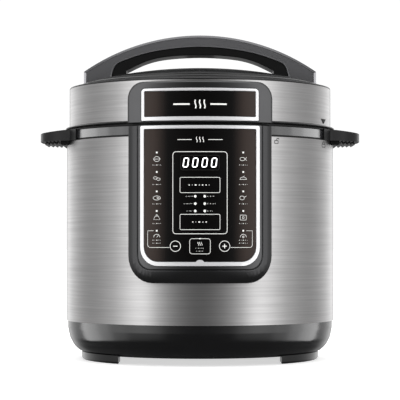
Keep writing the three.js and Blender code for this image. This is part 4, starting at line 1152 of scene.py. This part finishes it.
def print_on(lines, name, radius=GLASS_R, azimuth=0):
    """Lines of (points, width, closed) as thin print on a round face, turned from the front to +X."""
    parts = []
    for points, width, closed in lines:
        flat = [(arc_x(x, radius), 0, z) for x, z in points]
        parts.append(stroke("line", flat, width, closed))
    piece = join(parts, name)
    bpy.ops.object.mode_set(mode="EDIT")
    bpy.ops.mesh.select_all(action="SELECT")
    widest = max(width for _, width, _ in lines)
    flatten = 2 * sizes().print_height / (widest * MM)
    bpy.ops.transform.resize(value=(1, flatten, 1), center_override=(0, 0, 0))
    bpy.ops.transform.translate(value=(0, depth(radius) * MM, 0))
    bpy.ops.object.mode_set(mode="OBJECT")
    return turn_round(bend_round(piece), azimuth)


def turn_round(piece, azimuth):
    """Turns a piece about the body's axis, in degrees from the front towards +X."""
    make_active(piece)
    bpy.ops.object.mode_set(mode="EDIT")
    bpy.ops.mesh.select_all(action="SELECT")
    bpy.ops.transform.rotate(
        value=-math.radians(azimuth), orient_axis="Z", center_override=(0, 0, 0))
    bpy.ops.object.mode_set(mode="OBJECT")
    return piece


def program_icon(index, x, z):
    """One of ten small food signs, about seven millimetres wide."""
    icons = [
        [(oval(x, z, 2.9, 2.4), FINE, True), ([(x - 3.6, z), (x + 3.6, z)], FINE, False)],
        [(oval(x - 1.4, z + 0.6, 1.9, 1.2), THIN, True),
         (oval(x + 1.5, z - 0.6, 1.9, 1.2), THIN, True)],
        [(oval(x, z, 3.5, 2.0), FINE, True), (oval(x + 1.2, z, 0.9, 0.7), THIN, True)],
        [([(x - 3.2, z - 2), (x + 3.2, z - 2), (x + 1.5, z + 1.4), (x - 1.5, z + 1.4)], FINE, True),
         (oval(x, z + 2.2, 0.7, 0.7), THIN, True)],
        [(oval(x, z - 1, 3.0, 3.0, 0, 180), FINE, False),
         ([(x, z - 1), (x + 1.5, z + 0.8)], FINE, False)],
        [(oval(x - 0.8, z, 2.4, 1.6), FINE, True), ([(x + 1.6, z), (x + 3.4, z + 1.7)], FINE, False),
         ([(x + 1.6, z), (x + 3.4, z - 1.4)], FINE, False)],
        [(oval(x, z - 0.8, 3.1, 2.3, 0, 180), FINE, False),
         ([(x - 3.4, z - 0.8), (x + 3.4, z - 0.8)], FINE, False),
         ([(x, z + 1.5), (x + 0.9, z + 2.8)], THIN, False)],
        [(oval(x - 1.2, z, 2.2, 1.9), FINE, True), ([(x + 0.9, z + 0.6), (x + 3.2, z + 2.0)], 0.5, False)],
        [(rounded(x - 3, x + 3, z - 2.4, z + 2.4, 0.7), FINE, True), (oval(x, z, 1.0, 1.0), THIN, True)],
        [(oval(x, z - 1, 3.0, 3.0, 0, 180), FINE, False), (oval(x, z - 0.6, 0.8, 0.8), FINE, True)],
    ]
    return icons[index]


def panel_lines():
    """All that is printed on the panel's window: display border, lamps, signs and loops."""
    lines = [(rounded(*DISPLAY_FRAME, 3), 0.62, True)]
    for side in (-1, 1):
        for z, length in LAMP_ROWS:
            lines.append((oval(LAMP_X * side, z, 0.7, 0.7, steps=10), 1.4, True))
            lines += label(side * (LAMP_LABEL_X + length / 2), z, length, 0.9)
    for side, first in ((-1, 0), (1, 5)):
        x = PROGRAM_X * side
        for i, z in enumerate(PROGRAM_ROWS):
            lines.append(([(x - 0.8, z), (x + 0.8, z)], 1.9, False))
            last = i == len(PROGRAM_ROWS) - 1
            lines += program_icon(first + i, x, z - (5.4 if last else 6.4))
            lines += label(x, z - (9.2 if last else 12.2), 8, 1.2)
            if last:
                lines += label(x, z - 12.1, 8, 1.2)
        corner = (LOOP_X - LOOP_R, LOOP_LOW + LOOP_R)
        top = PROGRAM_ROWS[-1]
        loop = [(LOOP_START_X, LOOP_LOW), (corner[0], LOOP_LOW), *arc(corner, LOOP_R, -90, 0, 5),
                (LOOP_X, top), (LOOP_END_X, top)]
        lines.append(([(px * side, pz) for px, pz in loop], 0.45, False))
        lines.append(([(x * side, TITLE_HEIGHT) for x in TITLE_DASH], 0.6, False))
    lines += steam(0, TITLE_HEIGHT, 2.4, 2.6, 0.7)
    return lines


def display_border():
    """The faint edge of the display behind the film."""
    return [(rounded(*DISPLAY_BORDER, 1.4), 0.3, True)]


def padlock(z, shift, wide):
    """A small padlock, drawn wide where it sits far round; a shift draws its shackle open."""
    shackle = [(-1.3 + shift, z + 0.5), *oval(shift, z + 1.4, 1.3, 1.3, 180, 0, 8)]
    if not shift:
        shackle.append((1.3, z + 0.5))
    lines = [rounded(-1.9, 1.9, z - 2.6, z + 0.4, 0.4), shackle]
    return [([(px * wide, pz) for px, pz in line], 0.75, line is lines[0]) for line in lines]


def pointer():
    """A filled triangle on the lid's band that points down at the padlocks, drawn wide."""
    surface = depth(BAND.half)
    plate = prism("mark_arrow", POINTER_OUTLINE, surface - 0.5, surface + 0.2)
    return turn_round(bend_round(plate), POINTER_ANGLE)


class COOKER_OT_print(bpy.types.Operator):
    """Print on the windows and the lit figures of the display"""

    bl_idname = "cooker.print"
    bl_label = "Print and display"

    def execute(self, context):
        finish(print_on(panel_lines(), "panel_print"), finish_of("ink"), "base")
        figures = []
        slant = math.tan(math.radians(FIGURE_LEAN))
        for x in FIGURES_X:
            loop = rounded(x - FIGURE_HALF, x + FIGURE_HALF, FIGURE_LOW, FIGURE_HIGH, 1.4)
            leaning = [(px + (pz - FIGURE_MIDDLE) * slant, pz) for px, pz in loop]
            figures.append((leaning, 1.15, True))
        finish(print_on(figures, "display_figures"), finish_of("digit"), "base")
        finish(print_on(display_border(), "display_border"), finish_of("dim_ink"), "base")
        lid_lines = steam(0, LID_TITLE_HEIGHT, 3.4, 4.2, 1.4)
        for side in (-1, 1):
            lid_lines.append(([(x * side, LID_TITLE_HEIGHT) for x in LID_TITLE_DASH], 1.7, False))
        finish(print_on(lid_lines, "lid_print"), finish_of("ink"), "lid")
        for name, mark, azimuth in (("mark_open", MARK_OPEN, MARK_OPEN_ANGLE),
                                    ("mark_locked", MARK_LOCKED, MARK_LOCKED_ANGLE)):
            printed = print_on(padlock(*mark), name, SHELL.half, azimuth)
            finish(printed, finish_of("dark_ink"), "base")
        finish(pointer(), finish_of("dark_ink"), "lid")
        return {"FINISHED"}


# ---------------------------------------------------------------- lid

DOME_R = 472  # radius of the dome's curve
DOME_STEPS = range(0, 110, 8)  # distances from the middle at which the dome's outside is drawn
UNDER_STEPS = range(104, -1, -13)  # and its underside
COVER_SHEET = 2.4
COVER_RINGS = [
    (113.6, 289.7), (114.6, 289.2), (115.2, 287.9), (117.4, 287.4), (118.2, 288.0),
    (119.6, 288.0), (123.4, 286.9), (124.6, 286.0), (125.2, 284.7), (126.8, 284.4),
    (127.6, 284.9), (129, 284.8), (132.2, 283.9), (135.6, 283.0), (136.9, 282.7),
    (COVER.half, 282.2), (COVER.half, 281.4)]
COVER_SKIRT = [(136.3, 281.4), (136.3, COVER.low), (134, COVER.low), (134, 279.6)]
COVER_HOLES = [("valve_hole", 10, VALVE_CENTRE), ("float_hole", 4.5, PIN_CENTRE)]
BAND_BACK = 136.6  # inner radius of the lid's steel band
LIP_SECTION = [
    (129, LIP.low), (139.6, LIP.low), (140.9, LIP.low + 0.3), (141.5, LIP.low + 1.2),
    (140.7, LIP.low + 2.0), (138.6, LIP.high), (129, LIP.high)]
NOTCH_GAP, NOTCH_BACK = 0.4, 137.4  # side gap and depth of the lip's notch for the bezel


def dome_height(radius):
    """Height of the dome's surface at a distance from its middle."""
    return COVER.high - radius**2 / (2 * DOME_R)


def hole(piece, name, radius, centre, heights):
    """Drills a round upright hole."""
    low, high = heights
    boolean(piece, turn(name, [(0, low), (radius, low), (radius, high), (0, high)],
                        centre, SMALL_STEPS, 0))


class COOKER_OT_lid(bpy.types.Operator):
    """Domed cover with its grooves, steel band and flared lip"""

    bl_idname = "cooker.lid"
    bl_label = "Lid"

    def execute(self, context):
        dome = [(r, dome_height(r)) for r in DOME_STEPS]
        under = [(r, dome_height(r) - COVER_SHEET) for r in UNDER_STEPS]
        cover = turn("domed_cover", [*dome, *COVER_RINGS, *COVER_SKIRT, *under], rounding=0)
        for name, radius, centre in COVER_HOLES:
            hole(cover, name, radius, centre, (250, 330))
        soften(cover, 0.35, 3, 24)
        finish(cover, finish_of("gloss_black"), "lid", ["lid_cover"])

        band = turn("lid_steel_band", [
            (BAND_BACK, BAND.low), (BAND.half, BAND.low), (BAND.half, BAND.high),
            (BAND_BACK, BAND.high)], rounding=0.25)
        finish(band, finish_of("brushed_steel"), "lid", ["lid_band"])

        lip = turn("flared_lip", LIP_SECTION, rounding=0)
        seat = arc_x(BEZEL.half, HOUSING_R) + NOTCH_GAP
        notch = flat_plate("bezel_notch", (-seat, seat), (230, 250), (0, 0),
                           (depth(NOTCH_BACK), depth(150)))
        boolean(lip, bend_round(notch))
        soften(lip, 0.2, 2, 40)
        finish(lip, finish_of("gloss_black"), "lid", ["lid_lip"])
        return {"FINISHED"}


HANDLE_ARC_R = 213  # radius of the handle's upper edge
HANDLE_ARC_STEPS = 56
HANDLE_FOOT = 270  # height down to which the handle is drawn before its feet are cut to the cover
STRIP = 2.4  # width and rise of the slope along the handle's upper edge
GROOVE_WIDTH, GROOVE_DEPTH = 0.45, 0.5  # of the fine groove beside that slope
STRIP_ACROSS, STRIP_ALONG = (0.4, 0.95), 0.3  # slant of the faces that get the painted highlight on the edges
HANDLE_UNDER = [(93, 296), (89, 307), (78, 313), (52, 321), (17, 326)]  # right half, from the foot up
GRIP_UNDER, GRIP_MIDDLE = [(77, 301.5), (56.5, 311), (34.6, 316)], (0, 318)
GRIP_SHRINK, GRIP_DROP = 0.9955, 0.3  # how the grip's top keeps clear of the handle's underside
COVER_GAP = 0.25  # between the handle's feet and the cover
COVER_REST = [
    (114.6, 289.4), (119.8, 288.3), (124, 287.0), (129, 285.1), (137.5, 281.9), (150, 281.9)]


class COOKER_OT_handle(bpy.types.Operator):
    """Arched handle with its edge strip, and the grip under it"""

    bl_idname = "cooker.handle"
    bl_label = "Lid handle"

    def execute(self, context):
        mirrored = [(-x, z) for x, z in reversed(HANDLE_UNDER)]
        under = smooth_line([*HANDLE_UNDER, *mirrored], 5)
        centre = (0, HANDLE.high - HANDLE_ARC_R)
        half = math.degrees(math.asin(HANDLE.half / HANDLE_ARC_R))
        over = arc(centre, HANDLE_ARC_R, 90 + half, 90 - half, HANDLE_ARC_STEPS)
        foot, foot_x = HANDLE_FOOT, HANDLE_UNDER[0][0]
        outline = [(foot_x, foot), *under, (-foot_x, foot), (-HANDLE.half, foot), *over,
                   (HANDLE.half, foot)]
        arch = prism("arch_shell", outline, -HANDLE.rear, HANDLE.rear)
        edge_strip(arch, centre[1])
        boolean(arch, under_handle())
        soften(arch, 0.3, 2, 35)
        finish(arch, finish_of("satin_grey"), "lid", ["lid_handle"])
        # The edge slopes get a painted highlight.
        paint_edge_highlight(arch)

        top = [(x * GRIP_SHRINK, z - GRIP_DROP) for x, z in under]
        mirrored = [(-x, z) for x, z in GRIP_UNDER]
        bottom = smooth_line([*mirrored, GRIP_MIDDLE, *reversed(GRIP_UNDER)], 5)
        grip_x = GRIP_UNDER[0][0]
        outline = [(top[0][0], foot), *top, (top[-1][0], foot), (-grip_x, foot), *bottom,
                   (grip_x, foot)]
        grip = prism("grip_insert", outline, -GRIP.rear, GRIP.rear)
        boolean(grip, under_handle())
        soften(grip, 2.2, 5, 50)
        finish(grip, finish_of("grip_black"), "lid", ["handle_grip"])
        return {"FINISHED"}


def paint_edge_highlight(arch):
    """Gives the slope along the upper edge and the ends a lighter mirror finish: a painted highlight where
    these edges catch the light.
    """
    arch.data.materials.append(finish_of("edge_painted_highlight"))
    least, most = STRIP_ACROSS
    for face in arch.data.polygons:
        across, sideways, up = abs(face.normal.y), abs(face.normal.x), face.normal.z
        face.material_index = int(least < across < most and max(up, sideways) > STRIP_ALONG)


def under_handle():
    """Everything up to just above the cover, which the handle's feet are cut to sit on."""
    dome = [(r, dome_height(r) + COVER_GAP) for r in range(0, 114, 8)]
    return turn("cover_clearance", [*dome, *COVER_REST, (150, 200), (0, 200)], rounding=0)


def edge_strip(arch, centre_z):
    """Slopes the long upper edges and both ends, and scribes a fine groove beside the slope."""
    make_active(arch)
    bpy.ops.object.mode_set(mode="EDIT")
    bpy.ops.mesh.select_mode(type="EDGE")
    bpy.ops.mesh.select_all(action="DESELECT")
    mesh = bmesh.from_edit_mesh(arch.data)
    for edge in mesh.edges:
        a, b = (v.co / MM for v in edge.verts)
        level = abs(a.y - b.y) < 0.01
        on_arc = all(abs(math.hypot(p.x, p.z - centre_z) - HANDLE_ARC_R) < 0.1 for p in (a, b))
        on_end = all(abs(abs(p.x) - HANDLE.half) < 0.1 for p in (a, b))
        edge.select_set(level and (on_arc or on_end))
    bmesh.update_edit_mesh(arch.data)
    bpy.ops.mesh.bevel(offset=STRIP * MM, segments=1, affect="EDGES")
    pick(arch, lambda centre, normal: abs(normal.y) > 0.99)
    bpy.ops.mesh.inset(thickness=GROOVE_WIDTH * MM, depth=-GROOVE_DEPTH * MM)
    close_up()


BEZEL_BACK, BEZEL_FRONT = 137.8, 144.3  # radii of the bezel's back, and of its edge
BEZEL_SPARE = 14  # how much too low the bezel is drawn, so that its slopes run down to the cut
LID_OPENING_HALF, LID_OPENING_LOW, LID_OPENING_HIGH = 53.7, 244, 268.1


class COOKER_OT_bezel(bpy.types.Operator):
    """The lid's part of the panel: housing, bright frame and window"""

    bl_idname = "cooker.bezel"
    bl_label = "Lid bezel"

    def execute(self, context):
        side = arc_x(BEZEL.half, HOUSING_R)
        piece = flat_plate("lid_housing", (-side, side), (BEZEL.low - BEZEL_SPARE, BEZEL.high),
                           (2, 17), (depth(BEZEL_BACK), depth(BEZEL_FRONT)))
        slope_border(piece, LID_BORDER_STEPS, BEZEL.low, -1)
        frame_side = arc_x(LID_FRAME.half, FRAME_R)
        seat_side = frame_side + SEAT_GAP
        seat = flat_plate("lid_frame_seat", (-seat_side, seat_side),
                          (LID_FRAME.low - SEAT_GAP, LID_FRAME.high + SEAT_GAP), (1.2, 3.7),
                          (depth(SEAT_FLOOR), depth(160)))
        boolean(piece, seat)
        soften(piece, 0.8, 3, 12)
        finish(bend_round(piece), finish_of("gunmetal"), "lid", ["lid_bezel"])

        trim = flat_plate("lid_bright_frame", (-frame_side, frame_side),
                          (LID_FRAME.low, LID_FRAME.high), (1, 3.5), (depth(SEAT_R), depth(FRAME_R)))
        inner = arc_x(LID_OPENING_HALF, FRAME_R) + WIDER
        boolean(trim, flat_plate("lid_frame_opening", (-inner, inner),
                                 (LID_OPENING_LOW, LID_OPENING_HIGH + WIDER), (1, 1), cut_through()))
        soften(trim, 0.8, 3)
        finish(bend_round(trim), finish_of("chrome_trim"), "lid", ["lid_window_frame"])

        side = arc_x(LID_GLASS.half, GLASS_R) + WIDER
        glass = flat_plate("lid_glass", (-side, side), (LID_GLASS.low, LID_GLASS.high + WIDER),
                           (0.8, 0.8), (depth(SEAT_R), depth(GLASS_R)))
        soften(glass, 0.15, 2)
        finish(bend_round(glass), finish_of("black_glass"), "lid", ["lid_window"])
        return {"FINISHED"}


INNER_LID = place("inner_lid")
INNER_LID_UNDER = [(0, 258), (35, 256.1), (70, 250.4), (104, 240.8)]
INNER_LID_SHEET = 1.25
INNER_LID_SKIRT = [
    (126, 240.8), (126, INNER_LID.low), (128, INNER_LID.low), (128, 241.6), (133, 241.6),
    (133, 242.8), (105, 242.8)]
INNER_LID_HOLES = [("pipe_hole", 5.5, VALVE_CENTRE), ("pin_hole", 3.3, PIN_CENTRE)]
LID_LUG_ROOT_R, LID_LUG_TIP_R, LID_LUG_SHEET = 126.6, 119.5, 2.5
SEAL_SECTION = [
    (108.2, 233.3), (116.5, 233.3), (116.5, 240.3), (108.2, 240.3), (108.2, 238.6),
    (113.5, 238.2), (113.5, 235.4), (108.2, 235)]
SEAL_RACK_SECTION = [(105.8, 235.6), (107.6, 235.6), (107.6, 240.3), (105.8, 240.3)]
PIPE_SECTION = [
    (3, 247.5), (5, 247.5), (5, 253.8), (9, 253.8), (9, 255.4), (5, 255.4), (5, 297), (3, 297)]
SHIELD_SECTION = [
    (0, 238.6), (11, 238.6), (12, 239.6), (12, 246.6), (10.8, 246.6), (10.8, 240), (0, 240)]
SHIELD_SLOT_PITCH, SHIELD_SLOT_HALF, SHIELD_SLOT_HEIGHTS = 5, 1, (241, 245)


class COOKER_OT_pressure_lid(bpy.types.Operator):
    """Steel inner lid with skirt and lugs, sealing ring, its rack, pipe and shield"""

    bl_idname = "cooker.pressure_lid"
    bl_label = "Pressure lid and seal"

    def execute(self, context):
        under = smooth_line(INNER_LID_UNDER, 5)
        over = [(r, z + INNER_LID_SHEET) for r, z in reversed(under)]
        plate = turn("inner_lid_plate", [*under, *INNER_LID_SKIRT, *over], rounding=0)
        for name, radius, centre in INNER_LID_HOLES:
            hole(plate, name, radius, centre, (230, 270))
        soften(plate, 0.3, 2, 40)
        lugs = lug_ring("lid_lug", (LID_LUG_TIP_R, LID_LUG_ROOT_R),
                        (INNER_LID.low, INNER_LID.low + LID_LUG_SHEET))
        finish(join([plate, *lugs], "inner_lid_plate"), finish_of("polished_steel"), "lid",
               ["inner_lid"])

        seal = turn("silicone_seal", SEAL_SECTION, rounding=0.5)
        finish(seal, finish_of("silicone"), "sealing_ring", ["sealing_ring"])
        rack = turn("seal_holding_ring", SEAL_RACK_SECTION, rounding=0.6)
        finish(rack, finish_of("polished_steel"), "lid", ["seal_rack"])

        pipe = turn("steam_outlet_pipe", PIPE_SECTION, VALVE_CENTRE, SMALL_STEPS, 0.3)
        finish(pipe, finish_of("polished_steel"), "lid", ["steam_pipe"])
        shield = turn("pipe_shield", SHIELD_SECTION, VALVE_CENTRE, SMALL_STEPS, 0)
        for i in (-1, 0, 1):
            x = i * SHIELD_SLOT_PITCH
            boolean(shield, block("shield_slot", (x - SHIELD_SLOT_HALF, x + SHIELD_SLOT_HALF),
                                  (50, 90), SHIELD_SLOT_HEIGHTS))
        soften(shield, 0.2, 2, 40)
        finish(shield, finish_of("polished_steel"), "lid", ["anti_block_shield"])
        return {"FINISHED"}


KNOB_SECTION = [
    (0, 298.5), (5.7, 298.5), (5.7, 284), (8.6, 284), (8.6, 301.2), (16.2, 301.2),
    (17, 302), (17, 304.4), (15.8, 306), (12, 306.6), (0, 306.6)]
BAR_HALF_LENGTH, BAR_HALF_WIDTH, BAR_LOW = 14, 3.5, 305.5  # the knob's finger bar
PIN_SECTION = [
    (0, 236), (2.6, 236), (2.6, 237.6), (5, 237.6), (5, 239.6), (2.6, 239.6), (2.6, 295.6),
    (1.8, 296.6), (0, 296.8)]


class COOKER_OT_valves(bpy.types.Operator):
    """Steam valve knob and float pin"""

    bl_idname = "cooker.valves"
    bl_label = "Steam valve and float pin"

    def execute(self, context):
        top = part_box("steam_valve")[1].z / MM
        knob = turn("steam_knob", KNOB_SECTION, VALVE_CENTRE, SMALL_STEPS, 0.4)
        near, far = VALVE_CENTRE[1] - BAR_HALF_WIDTH, VALVE_CENTRE[1] + BAR_HALF_WIDTH
        bar = block("knob_bar", (-BAR_HALF_LENGTH, BAR_HALF_LENGTH), (near, far), (BAR_LOW, top))
        soften(bar, 1.6, 5)
        boolean(knob, bar, "UNION")
        finish(knob, finish_of("satin_black"), "steam_valve", ["steam_valve"])
        pin = turn("float_indicator", PIN_SECTION, PIN_CENTRE, SMALL_STEPS, 0.2)
        finish(pin, finish_of("polished_steel"), "float_pin", ["float_pin"])
        return {"FINISHED"}


POCKET_R = 139.9  # radius of the pocket's rear face
POCKET_SHEET, POCKET_OPEN_TOP = 1.6, 9
CUP_HALF, CUP_FRONT, CUP_LOW, CUP_HIGH, CUP_SHEET = 27.4, 121.6, 173.2, 216, 1.6
FLANGE = (-34, 34, 167, 218)  # left, right, low and high of the cup's outer face
FLANGE_CORNER, FLANGE_RADII = 6, (140.5, 142.8)


def round_body(name, radius):
    """A tall drum about the body's axis, for trimming a piece to the body's curve."""
    return turn(name, [(0, 100), (radius, 100), (radius, 250), (0, 250)], rounding=0)


class COOKER_OT_cup(bpy.types.Operator):
    """Condensate cup and the pocket that holds it at the rear"""

    bl_idname = "cooker.cup"
    bl_label = "Condensate cup"

    def execute(self, context):
        low, high = (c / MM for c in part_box("cup_holder"))
        pocket = block("cup_pocket", (low.x, high.x), (low.y, 170), (low.z, high.z))
        boolean(pocket, round_body("body_round", POCKET_R), "INTERSECT")
        boolean(pocket, block("pocket_hollow", (low.x + POCKET_SHEET, high.x - POCKET_SHEET),
                              (low.y + POCKET_SHEET, 180),
                              (low.z + POCKET_SHEET, high.z + POCKET_OPEN_TOP)))
        soften(pocket, 0.3, 2, 40)
        finish(pocket, finish_of("satin_black"), "base", ["cup_holder"])

        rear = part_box("condensate_cup")[1].y / MM
        cup = block("drip_cup", (-CUP_HALF, CUP_HALF), (CUP_FRONT, 170), (CUP_LOW, CUP_HIGH))
        soften(cup, 3, 5)
        boolean(cup, round_body("cup_round", rear), "INTERSECT")
        flange = prism("cup_flange", rounded(*FLANGE, FLANGE_CORNER), 60, 170)
        inner, outer = FLANGE_RADII
        tube = turn("flange_round", [(inner, 100), (outer, 100), (outer, 250), (inner, 250)],
                    rounding=0)
        boolean(flange, tube, "INTERSECT")
        boolean(cup, flange, "UNION")
        hollow = block("cup_hollow", (-CUP_HALF + CUP_SHEET, CUP_HALF - CUP_SHEET),
                       (CUP_FRONT + CUP_SHEET, 170), (CUP_LOW + CUP_SHEET, 230))
        boolean(hollow, round_body("hollow_round", rear - CUP_SHEET), "INTERSECT")
        boolean(cup, hollow)
        soften(cup, 0.3, 2, 40)
        finish(cup, finish_of("clear_plastic"), "condensate_cup", ["condensate_cup"])
        return {"FINISHED"}


class COOKER_OT_inner_parts(bpy.types.Operator):
    """Finishes of the parts that keep their CAD shape"""

    bl_idname = "cooker.inner_parts"
    bl_label = "Inner parts"

    def execute(self, context):
        slots = {row["node"]: row["material_slot"] for row in frame["record"]["subparts"]}
        for name, node in frame["nodes"].items():
            if node.hide_render:
                continue
            node.data.materials.clear()
            node.data.materials.append(finish_of(slots[name]))
        return {"FINISHED"}


# ---------------------------------------------------------------- stage

# Brightness of the studio's walls, from behind the camera (0) round to the rear (1).
STUDIO_WALLS = [(0, 0.16), (0.045, 0.43), (0.1, 0.9), (0.15, 1.65), (0.2, 1.8), (0.3, 1.27),
                (0.39, 0.83), (0.55, 0.54), (0.65, 0.48), (0.75, 0.54), (0.85, 0.8), (0.93, 1.1),
                (0.97, 1.25), (0.995, 0.35)]
CEILING = 1.5
GROUND = 0.1
CEILING_FROM, CEILING_FULL = 0.84, 0.96  # upward slant of a direction where the ceiling fades in
GROUND_FULL, GROUND_FROM = -0.45, -0.1  # downward slants between which the ground fades in
STUDIO_GAIN = 2.0  # brightest value that the ramp of the walls can give
PAPER = 1.05  # brightness of the white paper that the camera sees behind the object
FLOOR_SIZE, FLOOR_GLOW = 40, 0.62  # metres, and how much of the floor's white is its own
# Soft boxes on each side: name, from and to which angle round from the front, and brightness.
SOFT_BOXES = [
    ("rear", 94, 118, 3.3), ("side", 80, 94, 2.3), ("corner", 64, 80, 1.1), ("front", 30, 64, 0.5)]
BOX_DISTANCE = 1.2  # metres from the body's axis
BOX_MIDDLE, BOX_HEIGHT = 0.05, 1.1  # metres, so that they reach below the table
GLOSSY_PIECES = ("base_shell", "collar_steel", "arch_shell")  # the only ones that the boxes light


class COOKER_OT_stage(bpy.types.Operator):
    """Pale floor, soft studio light and the camera"""

    bl_idname = "cooker.stage"
    bl_label = "Stage"

    def execute(self, context):
        self.floor()
        self.world(context.scene)
        self.lights()
        self.camera(context.scene)
        context.scene.view_settings.view_transform = "Standard"
        return {"FINISHED"}

    def floor(self):
        clear_selection()
        bpy.ops.mesh.primitive_plane_add(size=FLOOR_SIZE)
        floor = bpy.context.object
        floor.name = "studio_floor"
        material, tree, output = new_material("painted board white")
        place_on = add_node(tree, "ShaderNodeTexCoord")
        mottle = add_node(tree, "ShaderNodeTexNoise", {"Vector": (place_on, "Object")}, Scale=4.0)
        rough = between(tree, (mottle, "Fac"), 0.6, 0.7)
        shader = add_node(tree, "ShaderNodeBsdfPrincipled", {"Roughness": (rough, "Result")},
                          Base_Color=linear(colours().floor), Emission_Strength=FLOOR_GLOW)
        tree.links.new(shader.outputs["BSDF"], output.inputs["Surface"])
        floor.data.materials.append(material)
        floor.visible_glossy = False

    def world(self, scene):
        """A studio that is dim behind the camera and bright to the rear, with a light ceiling."""
        world = bpy.data.worlds.new("studio")
        scene.world = world
        world.use_nodes = True
        tree = world.node_tree
        tree.nodes.clear()
        output = tree.nodes.new("ShaderNodeOutputWorld")
        direction = add_node(tree, "ShaderNodeTexCoord")
        level = add_node(tree, "ShaderNodeVectorMath", {0: (direction, "Generated")},
                         operation="MULTIPLY")
        level.inputs[1].default_value = (1, 1, 0)
        level = add_node(tree, "ShaderNodeVectorMath", {0: (level, "Vector")}, operation="NORMALIZE")
        parts = add_node(tree, "ShaderNodeSeparateXYZ", {"Vector": (level, "Vector")})
        round_about = add_node(tree, "ShaderNodeMapRange", {"Value": (parts, "Y")})
        round_about.inputs["From Min"].default_value = -1
        walls = add_node(tree, "ShaderNodeValToRGB", {"Fac": (round_about, "Result")})
        stops = walls.color_ramp.elements
        while len(stops) < len(STUDIO_WALLS):
            stops.new(0.5)
        for stop, (position, brightness) in zip(stops, STUDIO_WALLS):
            stop.position = position
            stop.color = (*[brightness / STUDIO_GAIN] * 3, 1)
        height = add_node(tree, "ShaderNodeSeparateXYZ", {"Vector": (direction, "Generated")})
        rise = add_node(tree, "ShaderNodeMapRange", {"Value": (height, "Z")},
                        interpolation_type="SMOOTHSTEP")
        rise.inputs["From Min"].default_value = CEILING_FROM
        rise.inputs["From Max"].default_value = CEILING_FULL
        ceiling = add_node(tree, "ShaderNodeMix", {
            "Factor": (rise, "Result"), 6: (walls, "Color")}, data_type="RGBA")
        ceiling.inputs[7].default_value = (*[CEILING / STUDIO_GAIN] * 3, 1)
        fall = add_node(tree, "ShaderNodeMapRange", {"Value": (height, "Z")},
                        interpolation_type="SMOOTHSTEP")
        fall.inputs["From Min"].default_value = GROUND_FULL
        fall.inputs["From Max"].default_value = GROUND_FROM
        ground = add_node(tree, "ShaderNodeMix", {
            "Factor": (fall, "Result"), 7: (ceiling, 2)}, data_type="RGBA")
        ground.inputs[6].default_value = (*[GROUND / STUDIO_GAIN] * 3, 1)
        studio = add_node(tree, "ShaderNodeBackground", {"Color": (ground, 2)}, Strength=STUDIO_GAIN)
        paper = add_node(tree, "ShaderNodeBackground", Color=(1, 1, 1, 1), Strength=PAPER)
        ray = add_node(tree, "ShaderNodeLightPath")
        both = add_node(tree, "ShaderNodeMixShader", {
            0: (ray, "Is Camera Ray"), 1: (studio, "Background"), 2: (paper, "Background")})
        tree.links.new(both.outputs["Shader"], output.inputs["Surface"])

    def lights(self):
        """Tall soft boxes at the sides, down past the table, that light the glossy pieces alone."""
        receivers = bpy.data.collections.new("glossy_pieces")
        bpy.context.scene.collection.children.link(receivers)
        for piece in bpy.data.objects:
            if piece.name.startswith(GLOSSY_PIECES):
                receivers.objects.link(piece)
        for side in (-1, 1):
            for name, start, end, brightness in SOFT_BOXES:
                a = math.radians((start + end) / 2 * side)
                width = 2 * BOX_DISTANCE * math.tan(math.radians((end - start) / 2))
                location = Vector((BOX_DISTANCE * math.sin(a), -BOX_DISTANCE * math.cos(a), BOX_MIDDLE))
                bpy.ops.object.light_add(type="AREA", location=location)
                light = bpy.context.object
                light.name = f"soft_box_{name}_" + ("right" if side > 0 else "left")
                light.data.shape = "RECTANGLE"
                light.data.size, light.data.size_y = width, BOX_HEIGHT
                light.data.energy = brightness * math.pi * width * BOX_HEIGHT
                level = Vector((location.x, location.y, 0))
                light.rotation_euler = level.to_track_quat("Z", "Y").to_euler()
                light.visible_camera = False
                light.light_linking.receiver_collection = receivers
                light.light_linking.blocker_collection = receivers

    def camera(self, scene):
        settings = sizes()
        bpy.ops.object.camera_add(location=(0, -settings.camera_distance, settings.camera_height))
        camera = bpy.context.object
        camera.name = "product_camera"
        camera.rotation_euler = (math.pi / 2 + settings.camera_pitch, 0, 0)
        camera.data.lens = settings.lens
        camera.data.sensor_width = 36
        camera.data.clip_end = 100
        scene.camera = camera


# ---------------------------------------------------------------- panel and registration

STEPS = [
    COOKER_OT_body, COOKER_OT_side_handles, COOKER_OT_base, COOKER_OT_pots, COOKER_OT_panel,
    COOKER_OT_keys, COOKER_OT_print, COOKER_OT_lid, COOKER_OT_handle, COOKER_OT_bezel,
    COOKER_OT_pressure_lid, COOKER_OT_valves, COOKER_OT_cup, COOKER_OT_inner_parts, COOKER_OT_stage,
]


class COOKER_PT_panel(bpy.types.Panel):
    """Lists the settings and the steps in order"""

    bl_idname = "COOKER_PT_panel"
    bl_label = "Pressure Cooker"
    bl_space_type = "VIEW_3D"
    bl_region_type = "UI"
    bl_category = "Cooker"

    def draw(self, context):
        layout = self.layout
        for group in (context.scene.cooker_sizes, context.scene.cooker_colours):
            for name in group.__annotations__:
                layout.prop(group, name)
        for step in STEPS:
            layout.operator(step.bl_idname)


CLASSES = [CookerSizes, CookerColours, *STEPS, COOKER_PT_panel]


def register():
    for item in CLASSES:
        bpy.utils.register_class(item)
    bpy.types.Scene.cooker_sizes = PointerProperty(type=CookerSizes)
    bpy.types.Scene.cooker_colours = PointerProperty(type=CookerColours)


def unregister():
    del bpy.types.Scene.cooker_sizes
    del bpy.types.Scene.cooker_colours
    for item in reversed(CLASSES):
        bpy.utils.unregister_class(item)


def main():
    """Registers the add-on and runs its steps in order."""
    register()
    for step in STEPS:
        family, name = step.bl_idname.split(".")
        getattr(getattr(bpy.ops, family), name)()


if __name__ == "__main__":
    main()
